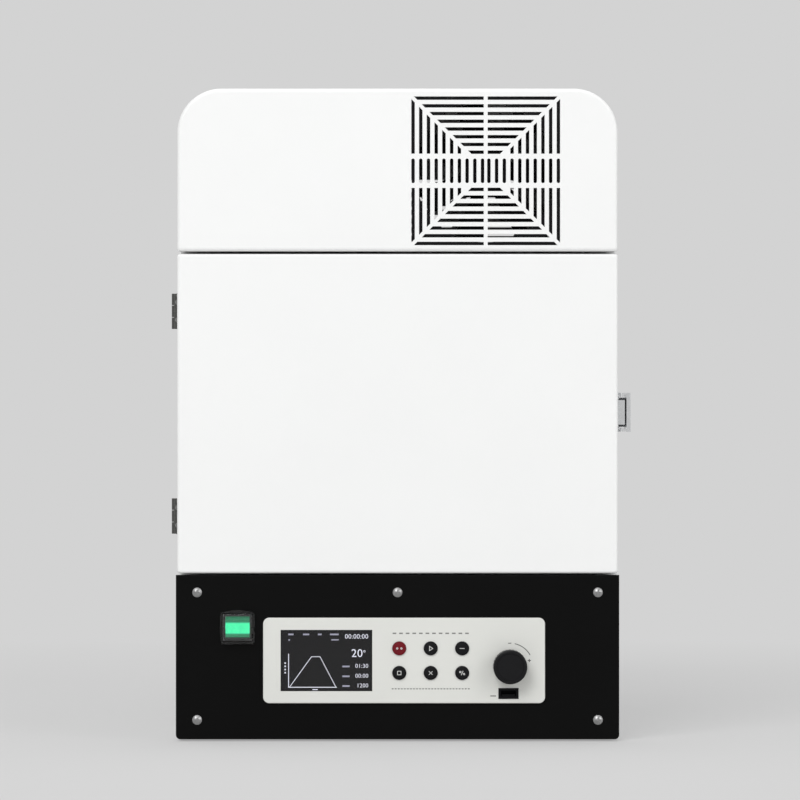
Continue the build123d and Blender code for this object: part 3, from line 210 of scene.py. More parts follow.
def streak_group():
    """Brushing marks: noise drawn out along one direction, as a value."""
    tree, given, result = new_group(
        "brushed_streaks",
        [("Vector", "Vector"), ("Stretch", "Vector"), ("Low", "Float"), ("High", "Float")],
        [("Value", "Float")],
    )
    stretch = node(tree, "ShaderNodeVectorMath", operation="MULTIPLY")
    noise = node(tree, "ShaderNodeTexNoise", {"Scale": 1.0, "Detail": 3.0, "Roughness": 0.7})
    tree.links.new(given.outputs["Vector"], stretch.inputs[0])
    tree.links.new(given.outputs["Stretch"], stretch.inputs[1])
    tree.links.new(stretch.outputs["Vector"], noise.inputs["Vector"])
    spread(tree, given, noise, result)
    return tree


def edge_wear_and_highlight_group():
    """Mask of the edges, where a coat or a plating is rubbed thin, and where a painted highlight lies
    along them.
    """
    tree, given, result = new_group(
        "edge_wear_and_highlight_mask",
        [("Vector", "Vector"), ("Radius", "Float"), ("Amount", "Float")],
        [("Mask", "Float")],
    )
    rounded = node(tree, "ShaderNodeBevel", samples=4)
    surface = node(tree, "ShaderNodeNewGeometry")
    along = node(tree, "ShaderNodeVectorMath", operation="DOT_PRODUCT")
    turn = node(tree, "ShaderNodeMath", {0: 1.0}, operation="SUBTRACT")
    patchy = node(tree, "ShaderNodeTexNoise", {"Scale": 140.0, "Detail": 3.0})
    strength = node(tree, "ShaderNodeMath", operation="MULTIPLY")
    broken = node(tree, "ShaderNodeMath", operation="MULTIPLY", use_clamp=True)
    tree.links.new(given.outputs["Radius"], rounded.inputs["Radius"])
    tree.links.new(rounded.outputs["Normal"], along.inputs[0])
    tree.links.new(surface.outputs["Normal"], along.inputs[1])
    tree.links.new(along.outputs["Value"], turn.inputs[1])
    tree.links.new(turn.outputs["Value"], strength.inputs[0])
    tree.links.new(given.outputs["Amount"], strength.inputs[1])
    tree.links.new(given.outputs["Vector"], patchy.inputs["Vector"])
    tree.links.new(strength.outputs["Value"], broken.inputs[0])
    tree.links.new(patchy.outputs["Fac"], broken.inputs[1])
    tree.links.new(broken.outputs["Value"], result.inputs["Mask"])
    return tree


MITRE_LIMIT = 0.3  # keeps sharp corners of a stroke from running out
SAME_POINT = 0.000001
EXACT = 1e-9
FIGURE_SHARE = 0.72  # height of a figure as a share of its font size

EFFECTS = {"tone": tone_group, "grain": grain_group, "streak": streak_group, "edge_wear_and_highlight": edge_wear_and_highlight_group}
built_effects = {}


def effect(tree, kind, vector, inputs):
    """Place one of the shared effects in a material."""
    if kind not in built_effects:
        built_effects[kind] = EFFECTS[kind]()
    made = node(tree, "ShaderNodeGroup", node_tree=built_effects[kind])
    for key, value in inputs.items():
        made.inputs[key].default_value = value
    tree.links.new(vector, made.inputs["Vector"])
    return made.outputs[0]


def opaque(rgb, share=1.0):
    """Four-part colour for a socket, dimmed to a share of itself."""
    return [part * share for part in rgb] + [1.0]


def blended(tree, mask, low, high):
    """Colour between low and high, by a mask. Each is a colour or another node's output."""
    made = node(tree, "ShaderNodeMix", data_type="RGBA")
    tree.links.new(mask, made.inputs["Factor"])
    for end, value in (("A", low), ("B", high)):
        socket = next(s for s in made.inputs if s.name == end and s.type == "RGBA")
        if isinstance(value, bpy.types.NodeSocket):
            tree.links.new(value, socket)
        else:
            socket.default_value = value
    return next(s for s in made.outputs if s.type == "RGBA")


def new_material(name, sockets=None):
    """Material with a Principled shader. Returns it, its tree, the shader and object coordinates."""
    made = bpy.data.materials.new(name)
    made.use_nodes = True
    tree = made.node_tree
    shader = tree.nodes["Principled BSDF"]
    for key, value in (sockets or {}).items():
        shader.inputs[key].default_value = value
    coords = node(tree, "ShaderNodeTexCoord")
    return made, tree, shader, coords.outputs["Object"]


def finish(tree, shader, base, rough, normal):
    """Lead colour, roughness and normal to a material's shader."""
    tree.links.new(base, shader.inputs["Base Color"])
    tree.links.new(rough, shader.inputs["Roughness"])
    tree.links.new(normal, shader.inputs["Normal"])


def coated(name, rgb, roughness, patch=25.0, depth=0.04, grain=900.0, height=0.00002, edge_wear_and_highlight=None,
           edge_radius=0.0012, sockets=None):
    """Coat, moulding or cast surface: uneven tone, fine grain and, where asked, edges in another
    colour: rubbed coat on the casing, painted highlight on the panel, bezel and knob.
    """
    made, tree, shader, place = new_material(name, sockets)
    patches = effect(tree, "tone", place, {"Scale": patch, "Low": 0.0, "High": 1.0})
    base = blended(tree, patches, opaque(rgb, 1.0 - depth), opaque(rgb))
    # Edge colour: rubbed coat where it is darker, painted highlight where it is brighter.
    if edge_wear_and_highlight is not None:
        rubbed_and_lit = effect(tree, "edge_wear_and_highlight", place, {"Radius": edge_radius, "Amount": 2.2})
        base = blended(tree, rubbed_and_lit, base, opaque(edge_wear_and_highlight))
    rough = effect(
        tree, "tone", place, {"Scale": grain / 4, "Low": roughness - 0.05, "High": roughness + 0.05}
    )
    normal = effect(tree, "grain", place, {"Scale": grain, "Height": height})
    finish(tree, shader, base, rough, normal)
    return made


def brushed(name, rgb, roughness, stretch, depth=0.18, edge_wear_and_highlight=None, metallic=1.0):
    """Brushed or rolled metal, with its marks along one direction."""
    made, tree, shader, place = new_material(name, {"Metallic": metallic})
    marks = effect(tree, "streak", place, {"Stretch": stretch, "Low": 0.0, "High": 1.0})
    base = blended(tree, marks, opaque(rgb, 1.0 - depth), opaque(rgb))
    # Where asked, brighter edges: painted highlight, on the hinges also rubbed steel.
    if edge_wear_and_highlight is not None:
        rubbed_and_lit = effect(tree, "edge_wear_and_highlight", place, {"Radius": 0.0008, "Amount": 2.0})
        base = blended(tree, rubbed_and_lit, base, opaque(edge_wear_and_highlight))
    rough = effect(
        tree, "streak", place, {"Stretch": stretch, "Low": roughness - 0.08, "High": roughness + 0.1}
    )
    lines = node(tree, "ShaderNodeBump", {"Strength": 0.25, "Distance": 0.00002})
    tree.links.new(marks, lines.inputs["Height"])
    finish(tree, shader, base, rough, lines.outputs["Normal"])
    return made


def galvanised(name, rgb):
    """Zinc-coated sheet with its frost-like spangle."""
    made, tree, shader, place = new_material(name, {"Metallic": 1.0})
    spangle = node(tree, "ShaderNodeTexVoronoi", {"Scale": 110.0, "Randomness": 1.0})
    grey = node(tree, "ShaderNodeRGBToBW")
    tree.links.new(place, spangle.inputs["Vector"])
    tree.links.new(spangle.outputs["Color"], grey.inputs["Color"])
    base = blended(tree, grey.outputs["Val"], opaque(rgb, 0.78), opaque(rgb))
    rough = node(tree, "ShaderNodeMapRange", {"To Min": 0.36, "To Max": 0.55})
    tree.links.new(grey.outputs["Val"], rough.inputs["Value"])
    tree.links.new(base, shader.inputs["Base Color"])
    tree.links.new(rough.outputs["Result"], shader.inputs["Roughness"])
    return made


def fibre_board(name, rgb, scorched, hot_y, depth):
    """Pressed ceramic fibre: short fibres, small pits, and browning towards the hot space."""
    made, tree, shader, place = new_material(name, {"Roughness": 0.92, "Specular IOR Level": 0.15})
    shots = node(tree, "ShaderNodeTexNoise", {"Scale": 420.0, "Detail": 8.0, "Roughness": 0.75})
    pits = node(tree, "ShaderNodeTexVoronoi", {"Scale": 260.0})
    parts = node(tree, "ShaderNodeSeparateXYZ")
    heat = node(tree, "ShaderNodeMapRange", {"From Min": hot_y, "From Max": hot_y + depth})
    uneven = effect(tree, "tone", place, {"Scale": 30.0, "Low": 0.2, "High": 0.75})
    browning = node(tree, "ShaderNodeMath", operation="MULTIPLY", use_clamp=True)
    tree.links.new(place, shots.inputs["Vector"])
    tree.links.new(place, pits.inputs["Vector"])
    tree.links.new(place, parts.inputs["Vector"])
    tree.links.new(parts.outputs["Y"], heat.inputs["Value"])
    tree.links.new(heat.outputs["Result"], browning.inputs[0])
    tree.links.new(uneven, browning.inputs[1])
    fibres = blended(tree, shots.outputs["Fac"], opaque(rgb, 0.86), opaque(rgb))
    base = blended(tree, browning.outputs["Value"], fibres, opaque(scorched))
    relief = node(tree, "ShaderNodeMath", operation="MULTIPLY")
    bump = node(tree, "ShaderNodeBump", {"Strength": 0.7, "Distance": 0.0004})
    tree.links.new(shots.outputs["Fac"], relief.inputs[0])
    tree.links.new(pits.outputs["Distance"], relief.inputs[1])
    tree.links.new(relief.outputs["Value"], bump.inputs["Height"])
    tree.links.new(base, shader.inputs["Base Color"])
    tree.links.new(bump.outputs["Normal"], shader.inputs["Normal"])
    return made


def banded(name, rgb, axis, spacing, depth, metallic, roughness):
    """Stacked sheets or wound wire: fine parallel bands along one axis, darker between them: dark
    joints between the core sheets, painted shade in the grooves between wire turns.
    """
    made, tree, shader, place = new_material(name, {"Metallic": metallic})
    bands = node(
        tree, "ShaderNodeTexWave", {"Scale": pi / (10 * spacing), "Distortion": 0.15, "Detail": 1.0},
        bands_direction=axis,
    )
    bump = node(tree, "ShaderNodeBump", {"Strength": 0.8, "Distance": spacing / 4})
    tree.links.new(place, bands.inputs["Vector"])
    base = blended(tree, bands.outputs["Fac"], opaque(rgb, 1.0 - depth), opaque(rgb))
    rough = effect(
        tree, "tone", place, {"Scale": 120.0, "Low": roughness - 0.08, "High": roughness + 0.08}
    )
    tree.links.new(bands.outputs["Fac"], bump.inputs["Height"])
    finish(tree, shader, base, rough, bump.outputs["Normal"])
    return made


def speckled(name, rgb, glint, scale, roughness):
    """Sintered grains: dark body with small bright facets, which are painted glints."""
    made, tree, shader, place = new_material(name)
    grains = node(tree, "ShaderNodeTexVoronoi", {"Scale": scale})
    grey = node(tree, "ShaderNodeRGBToBW")
    # Brightest grains are lifted to the glint colour: painted glints.
    bright = node(tree, "ShaderNodeMapRange", {"From Min": 0.72, "From Max": 0.95})
    bump = node(tree, "ShaderNodeBump", {"Strength": 0.6, "Distance": 0.0002})
    tree.links.new(place, grains.inputs["Vector"])
    tree.links.new(grains.outputs["Color"], grey.inputs["Color"])
    tree.links.new(grey.outputs["Val"], bright.inputs["Value"])
    tree.links.new(grains.outputs["Distance"], bump.inputs["Height"])
    base = blended(tree, bright.outputs["Result"], opaque(rgb), opaque(glint))
    rough = effect(
        tree, "tone", place, {"Scale": 200.0, "Low": roughness - 0.1, "High": roughness + 0.1}
    )
    finish(tree, shader, base, rough, bump.outputs["Normal"])
    return made


def woven(name, rgb, shade, pitch):
    """Flat woven tape: threads that cross at a small pitch, with painted shade in the gaps between
    them.
    """
    made, tree, shader, place = new_material(name, {"Roughness": 0.85, "Sheen Weight": 0.15})
    across = node(tree, "ShaderNodeTexWave", {"Scale": pi / (10 * pitch)}, bands_direction="X")
    upward = node(tree, "ShaderNodeTexWave", {"Scale": pi / (10 * pitch)}, bands_direction="Z")
    crossing = node(tree, "ShaderNodeMath", operation="MULTIPLY")
    bump = node(tree, "ShaderNodeBump", {"Strength": 1.0, "Distance": pitch / 3})
    tree.links.new(place, across.inputs["Vector"])
    tree.links.new(place, upward.inputs["Vector"])
    tree.links.new(across.outputs["Fac"], crossing.inputs[0])
    tree.links.new(upward.outputs["Fac"], crossing.inputs[1])
    tree.links.new(crossing.outputs["Value"], bump.inputs["Height"])
    # Low crossing values, the gaps between threads, get the shade colour: painted shade.
    base = blended(tree, crossing.outputs["Value"], opaque(shade), opaque(rgb))
    tree.links.new(base, shader.inputs["Base Color"])
    tree.links.new(bump.outputs["Normal"], shader.inputs["Normal"])
    return made


def circuit(name, rgb, track):
    """Green board with faint tracks under its mask."""
    made, tree, shader, place = new_material(name, {"Roughness": 0.35, "Coat Weight": 0.3})
    tracks = node(
        tree, "ShaderNodeTexBrick",
        {"Scale": 120.0, "Mortar Size": 0.03, "Color1": opaque(rgb), "Color2": opaque(rgb, 0.85),
         "Mortar": opaque(track)},
    )
    upright = node(tree, "ShaderNodeMapping")
    upright.inputs["Rotation"].default_value = (pi / 2, 0.0, 0.0)
    tree.links.new(place, upright.inputs["Vector"])
    tree.links.new(upright.outputs["Vector"], tracks.inputs["Vector"])
    tree.links.new(tracks.outputs["Color"], shader.inputs["Base Color"])
    return made


def clear(name, tint, roughness, ior, specular):
    """Glass or clear plastic with faint smears in its polish."""
    made, tree, shader, place = new_material(
        name,
        {"Base Color": opaque(tint), "Transmission Weight": 1.0, "IOR": ior,
         "Specular IOR Level": specular},
    )
    smears = effect(tree, "tone", place, {"Scale": 80.0, "Low": roughness, "High": roughness + 0.05})
    tree.links.new(smears, shader.inputs["Roughness"])
    return made


def glowing(name, rgb, strength):
    """Lit figures, a little uneven in brightness."""
    made, tree, shader, place = new_material(
        name, {"Base Color": (0.0, 0.0, 0.0, 1.0), "Roughness": 0.6, "Emission Strength": strength}
    )
    uneven = effect(tree, "tone", place, {"Scale": 400.0, "Low": 0.0, "High": 1.0})
    light = blended(tree, uneven, opaque(rgb, 0.9), opaque(rgb))
    tree.links.new(light, shader.inputs["Emission Color"])
    return made


def printed(name, rgb):
    """Screen-printed ink with a slightly uneven body."""
    return coated(name, rgb, 0.55, patch=600.0, depth=0.12, grain=1500.0, height=0.00001)


def lit_lens(name, bright, deep_tone_and_shade, middle, half, fade):
    """Rocker lens lit from inside by its lamp: bright across the middle, darker towards both ends,
    where the darkening is painted shade.
    """
    made, tree, shader, place = new_material(
        name, {"Roughness": 0.25, "Specular IOR Level": 0.4, "Emission Strength": 1.0}
    )
    parts = node(tree, "ShaderNodeSeparateXYZ")
    offset = node(tree, "ShaderNodeMath", {1: middle}, operation="SUBTRACT")
    away = node(tree, "ShaderNodeMath", operation="ABSOLUTE")
    painted_shade_band = node(
        tree, "ShaderNodeMapRange",
        {"From Min": half, "From Max": half + fade, "To Min": 1.0, "To Max": 0.0},
        interpolation_type="SMOOTHSTEP",
    )
    streaks = effect(
        tree, "streak", place, {"Stretch": (500.0, 500.0, 60.0), "Low": 0.82, "High": 1.0}
    )
    lit = node(tree, "ShaderNodeMath", operation="MULTIPLY")
    # Glow falls off from the middle towards both ends: painted shade.
    tree.links.new(place, parts.inputs["Vector"])
    tree.links.new(parts.outputs["Z"], offset.inputs[0])
    tree.links.new(offset.outputs["Value"], away.inputs[0])
    tree.links.new(away.outputs["Value"], painted_shade_band.inputs["Value"])
    tree.links.new(painted_shade_band.outputs["Result"], lit.inputs[0])
    tree.links.new(streaks, lit.inputs[1])
    light = blended(tree, lit.outputs["Value"], opaque(deep_tone_and_shade), opaque(bright))
    tree.links.new(light, shader.inputs["Emission Color"])
    shader.inputs["Base Color"].default_value = opaque(deep_tone_and_shade)
    return made


def dress(material, *names):
    """Give construction nodes a finish."""
    for name in names:
        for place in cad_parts[name].material_slots:
            place.material = material


def deselect():
    """Clear the selection before a piece is made."""
    bpy.ops.object.select_all(action="DESELECT")


def keep(piece, name, material, body):
    """Name a finished piece, put its place in its mesh, and seat it on a body."""
    deselect()
    piece.select_set(True)
    bpy.context.view_layer.objects.active = piece
    bpy.ops.object.transform_apply(location=True, rotation=True, scale=True)
    piece.name = name
    piece.data.name = name
    piece.data.materials.clear()
    piece.data.materials.append(material)
    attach(piece, body)
    return piece


def thicken(piece, thickness):
    """Give a flat piece its thickness."""
    wall = piece.modifiers.new("wall", "SOLIDIFY")
    wall.thickness = thickness
    wall.offset = 1.0
    bpy.context.view_layer.objects.active = piece
    bpy.ops.object.modifier_apply(modifier=wall.name)


def ribbon(points, width, y, closed=False):
    """Flat stroke of even width through points (x, z), facing the front at depth y."""
    spots = [Vector(point) for point in points]
    count = len(spots)
    sides = []
    for index, spot in enumerate(spots):
        before = spots[index - 1] if index or closed else spot
        after = spots[(index + 1) % count] if index < count - 1 or closed else spot
        first = (spot - before).normalized()
        second = (after - spot).normalized()
        along = (first + second).normalized()
        stretch = 1.0 / max(MITRE_LIMIT, along.dot(second) if second.length else along.dot(first))
        across = Vector((-along.y, along.x)) * (width / 2 * stretch)
        sides.append((spot + across, spot - across))
    if closed:
        sides.append(sides[0])
    deselect()
    bpy.ops.mesh.primitive_plane_add(size=width, location=(0, 0, 0))
    piece = bpy.context.object
    bpy.ops.object.mode_set(mode="EDIT")
    mesh = bmesh.from_edit_mesh(piece.data)
    mesh.verts.ensure_lookup_table()
    corners = [sides[0][0], sides[0][1], sides[1][0], sides[1][1]]
    for vertex, corner in zip(mesh.verts, corners):
        vertex.co = (corner.x, y, corner.y)
    bmesh.update_edit_mesh(piece.data)
    ends = (2, 3)
    for upper, lower in sides[2:]:
        bpy.ops.mesh.select_all(action="DESELECT")
        mesh = bmesh.from_edit_mesh(piece.data)
        mesh.verts.ensure_lookup_table()
        for end in ends:
            mesh.verts[end].select = True
        mesh.select_flush_mode()
        mesh.edges.get([mesh.verts[ends[0]], mesh.verts[ends[1]]]).select = True
        bmesh.update_edit_mesh(piece.data)
        bpy.ops.mesh.extrude_region_move(TRANSFORM_OT_translate={"value": (0, 0, 0)})
        mesh = bmesh.from_edit_mesh(piece.data)
        mesh.verts.ensure_lookup_table()
        fresh = [vertex for vertex in mesh.verts if vertex.select]
        partner = {True: upper, False: lower}
        old_upper = mesh.verts[ends[0]].co.copy()
        for vertex in fresh:
            corner = partner[(vertex.co - old_upper).length < EXACT]
            vertex.co = (corner.x, y, corner.y)
        new_upper = next(v for v in fresh if (v.co.xz - upper).length < EXACT)
        new_lower = next(v for v in fresh if v is not new_upper)
        ends = (new_upper.index, new_lower.index)
        bmesh.update_edit_mesh(piece.data)
    bpy.ops.mesh.select_all(action="SELECT")
    bpy.ops.mesh.remove_doubles(threshold=SAME_POINT)
    bpy.ops.mesh.normals_make_consistent(inside=False)
    bpy.ops.object.mode_set(mode="OBJECT")
    return piece


def bar(x, z, w, h, y):
    """Upright rectangle w wide and h high, facing the front at depth y."""
    return ribbon([(x - w / 2, z), (x + w / 2, z)], h, y)


def ring_points(x, z, radius, count, start=0.0, sweep=2 * pi):
    """Points on a circle or an arc, from the top and clockwise as seen from the front."""
    closed = sweep >= 2 * pi
    steps = count if closed else count - 1
    return [
        (x + radius * sin(start + sweep * i / steps), z + radius * cos(start + sweep * i / steps))
        for i in range(count)
    ]


def joined(pieces):
    """Join flat pieces into one object."""
    deselect()
    for piece in pieces:
        piece.select_set(True)
    bpy.context.view_layer.objects.active = pieces[0]
    if len(pieces) > 1:
        bpy.ops.object.join()
    return pieces[0]


def figures(words, height, x, z, y, align="LEFT"):
    """Plain figures whose lower left (or right) corner is at (x, z), facing the front."""
    deselect()
    bpy.ops.object.text_add(location=(x, y, z), rotation=(pi / 2, 0, 0))
    piece = bpy.context.object
    piece.data.body = words
    piece.data.size = height / FIGURE_SHARE
    piece.data.align_x = align
    piece.data.space_character = 1.05
    bpy.ops.object.convert(target="MESH")
    bpy.ops.object.transform_apply(location=True, rotation=True, scale=True)
    return bpy.context.object


class FURNACE_OT_casing(bpy.types.Operator):
    """Powder coat of hood, door and casing, and plating of the base"""

    bl_idname = "furnace.casing"
    bl_label = "Casing"

    def execute(self, context):
        tones = context.scene.furnace_colours
        paint = coated(
            "white_coat", tones.casing, 0.42, patch=9.0, depth=0.015, grain=1100.0,
            height=0.00003, edge_wear_and_highlight=tones.casing_edge, sockets={"Specular IOR Level": 0.35},
        )
        dress(paint, "hood", "outer_wrap", "door_shell", "face_frame", "rear_panel")
        dress(galvanised("zinc_sheet", tones.zinc), "base_tray", "power_supply")
        dress(
            coated("foot_rubber", tones.rubber, 0.75, patch=70.0, depth=0.3, grain=700.0,
                   height=0.00006),
            "rubber_feet",
        )
        return {"FINISHED"}


class FURNACE_OT_panel(bpy.types.Operator):
    """Black front panel and its screws"""

    bl_idname = "furnace.panel"
    bl_label = "Front panel"

    def execute(self, context):
        tones = context.scene.furnace_colours
        # Black coat with its edges brightened as a painted highlight.
        dress(
            coated("black_coat", tones.panel, 0.5, patch=12.0, depth=0.25, grain=1200.0,
                   height=0.00002, edge_wear_and_highlight=tones.panel_edge_highlight, edge_radius=0.0008,
                   sockets={"Specular IOR Level": 0.07}),
            "front_panel",
        )
        dress(
            brushed("screw_plating", tones.screw_steel, 0.38, (900.0, 900.0, 150.0), 0.3),
            "front_panel_screws", "rear_screws", "side_screws_case", "side_screws_door",
        )
        return {"FINISHED"}


class FURNACE_OT_hinges(bpy.types.Operator):
    """Dark steel of the hinges, darkened partly as painted shade, with brighter edges that are partly a
    painted highlight
    """

    bl_idname = "furnace.hinges"
    bl_label = "Hinges"

    def execute(self, context):
        tones = context.scene.furnace_colours
        # Dark colour partly painted shade; edges 2.2 times brighter are rubbed steel with a painted
        # highlight.
        steel = brushed(
            "hinge_steel_and_shade", tones.hinge_steel_and_shade, 0.42, (300.0, 300.0, 1500.0), 0.35,
            edge_wear_and_highlight=[part * 2.2 for part in tones.hinge_steel_and_shade],
        )
        dress(steel, "hinge_leaves_case", "hinge_leaves_door", "hinge_pins")
        return {"FINISHED"}


class FURNACE_OT_latch(bpy.types.Operator):
    """Bright steel of the draw latch"""

    bl_idname = "furnace.latch"
    bl_label = "Draw latch"

    def execute(self, context):
        tones = context.scene.furnace_colours
        # Latch edges painted a little brighter than the steel: a painted highlight.
        steel = brushed(
            "latch_steel", tones.latch_steel, 0.24, (1400.0, 200.0, 200.0), 0.1,
            edge_wear_and_highlight=[min(1.0, part * 1.15) for part in tones.latch_steel],
        )
        dress(steel, "latch_base", "latch_lever", "latch_loop", "latch_keeper")
        return {"FINISHED"}


class FURNACE_OT_oven(bpy.types.Operator):
    """Liner, fibre boards, susceptors, hearth and thermocouple"""

    bl_idname = "furnace.oven"
    bl_label = "Oven"

    def execute(self, context):
        tones = context.scene.furnace_colours
        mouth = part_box("muffle_floor")[0].y
        plug_low, plug_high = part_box("door_plug")
        dress(
            brushed("liner_sheet", tones.stainless, 0.34, (12.0, 900.0, 900.0), 0.12),
            "cavity_liner", "door_inner_plate",
        )
        dress(
            fibre_board("fibre_board", tones.fibre, tones.scorched, mouth, 0.16),
            "muffle_floor", "muffle_roof", "muffle_sides", "muffle_back", "door_core",
        )
        dress(
            fibre_board("plug_board", tones.fibre, tones.scorched, plug_low.y,
                        (plug_high.y - plug_low.y) * 1.5),
            "door_plug",
        )
        dress(
            speckled("silicon_carbide", tones.carbide, (0.16, 0.17, 0.2), 900.0, 0.5),
            "susceptor_plates",
        )
        dress(
            coated("alumina", tones.alumina, 0.6, patch=60.0, depth=0.1, grain=600.0,
                   height=0.00008),
            "hearth_tile", "thermocouple",
        )
        return {"FINISHED"}


class FURNACE_OT_gasket(bpy.types.Operator):
    """Woven tape round the oven mouth, with rounded edges"""

    bl_idname = "furnace.gasket"
    bl_label = "Door gasket"

    def execute(self, context):
        tones = context.scene.furnace_colours
        low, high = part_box("door_gasket")
        width = 0.008
        corner = 0.008
        rounding = 0.0006
        middle = (low + high) / 2
        deselect()
        bpy.ops.mesh.primitive_plane_add(
            size=1.0, location=(middle.x, low.y, middle.z), rotation=(pi / 2, 0, 0)
        )
        piece = bpy.context.object
        piece.scale = (high.x - low.x, high.z - low.z, 1.0)
        bpy.ops.object.transform_apply(location=True, rotation=True, scale=True)
        bpy.ops.object.mode_set(mode="EDIT")
        bpy.ops.mesh.select_all(action="SELECT")
        bpy.ops.mesh.bevel(offset=corner, segments=8, affect="VERTICES")
        bpy.ops.mesh.select_all(action="SELECT")
        bpy.ops.mesh.inset(thickness=width)
        bpy.ops.mesh.delete(type="FACE")
        bpy.ops.mesh.select_all(action="SELECT")
        bpy.ops.mesh.extrude_region_move(
            TRANSFORM_OT_translate={"value": (0, high.y - low.y, 0)}
        )
        bpy.ops.mesh.select_all(action="SELECT")
        bpy.ops.mesh.normals_make_consistent(inside=False)
        bpy.ops.object.mode_set(mode="OBJECT")
        soft = piece.modifiers.new("soft", "BEVEL")
        soft.width = rounding
        soft.segments = 3
        soft.limit_method = "ANGLE"
        bpy.ops.object.modifier_apply(modifier=soft.name)
        bpy.ops.object.shade_smooth_by_angle(angle=radians(40))
        tape = woven("woven_tape", tones.gasket, tones.gasket_shade, 0.0011)
        keep(piece, "gasket_tape", tape, "door")
        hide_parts("door_gasket")
        return {"FINISHED"}


class FURNACE_OT_power(bpy.types.Operator):
    """Microwave and electrical parts inside the casing"""

    bl_idname = "furnace.power"
    bl_label = "Power parts"

    def execute(self, context):
        tones = context.scene.furnace_colours
        dress(
            brushed("rolled_aluminium", tones.aluminium, 0.36, (15.0, 700.0, 700.0), 0.12),
            "waveguide", "magnetron", "hv_capacitor",
        )
        dress(
            banded("core_sheets", tones.laminate, "Y", 0.0007, 0.5, 0.7, 0.5), "transformer_core"
        )
        # Darker bands between the wire turns are painted shade.
        dress(
            banded("wound_wire", tones.enamel, "Z", 0.0011, 0.55, 0.3, 0.35),
            "transformer_windings",
        )
        dress(circuit("circuit_board", tones.board, tones.copper_track), "control_board")
        dress(
            brushed("plated_brass", tones.contact, 0.28, (200.0, 1200.0, 200.0), 0.15),
            "inlet_pins", "encoder_shaft",
        )
        return {"FINISHED"}


class FURNACE_OT_mouldings(bpy.types.Operator):
    """Plastic mouldings: bezel, knob, keys, sockets and fan"""

    bl_idname = "furnace.mouldings"
    bl_label = "Mouldings"

    def execute(self, context):
        tones = context.scene.furnace_colours
        # Bezel edges painted lighter than the moulding: a painted highlight on its rounded rim.
        dress(
            coated("bezel_moulding", tones.bezel, 0.45, patch=14.0, depth=0.03, grain=1300.0,
                   height=0.00002, edge_wear_and_highlight=(0.86, 0.865, 0.84), sockets={"Specular IOR Level": 0.3}),
            "control_bezel",
        )
        quiet = {"Specular IOR Level": 0.12}
        dress(
            coated("black_moulding", tones.black_plastic, 0.5, patch=90.0, depth=0.3,
                   grain=1400.0, height=0.00003, sockets=quiet),
            "usb_port", "switch_housing", "fan_frame", "fan_rotor", "encoder_body",
            "inlet_housing", "interlock_sensor", "display_module",
        )
        # Knob edges painted lighter than the knob: a painted highlight on its rim.
        dress(
            coated("knob_moulding", tones.black_plastic, 0.42, patch=120.0, depth=0.3,
                   grain=1600.0, height=0.00002, edge_wear_and_highlight=(0.016, 0.016, 0.017),
                   edge_radius=0.0006, sockets={"Specular IOR Level": 0.2}),
            "knob",
        )
        dress(
            coated("key_moulding", tones.black_plastic, 0.35, patch=150.0, depth=0.2,
                   grain=1500.0, height=0.00001, sockets={"Specular IOR Level": 0.18}),
            "button_program", "button_preset", "button_stop", "button_clear", "button_step",
        )
        dress(
            coated("start_key_moulding", tones.start_key, 0.35, patch=150.0, depth=0.2,
                   grain=1500.0, height=0.00001, sockets={"Specular IOR Level": 0.25}),
            "button_start",
        )
        return {"FINISHED"}


class FURNACE_OT_switch(bpy.types.Operator):
    """Lit rocker and its clear cover"""

    bl_idname = "furnace.switch"
    bl_label = "Power switch"

    def execute(self, context):
        tones = context.scene.furnace_colours
        low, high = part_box("rocker")
        dress(
            # Lamp glow of the rocker, with painted shade towards both ends.
            lit_lens("rocker_lens", tones.lamp_bright, tones.lamp_deep_and_shade,
                     (low.z + high.z) / 2 - 0.0008, 0.0036, 0.0018),
            "rocker",
        )
        dress(clear("clear_cover", (0.95, 0.96, 0.96), 0.03, 1.49, 0.5), "switch_cover")
        return {"FINISHED"}


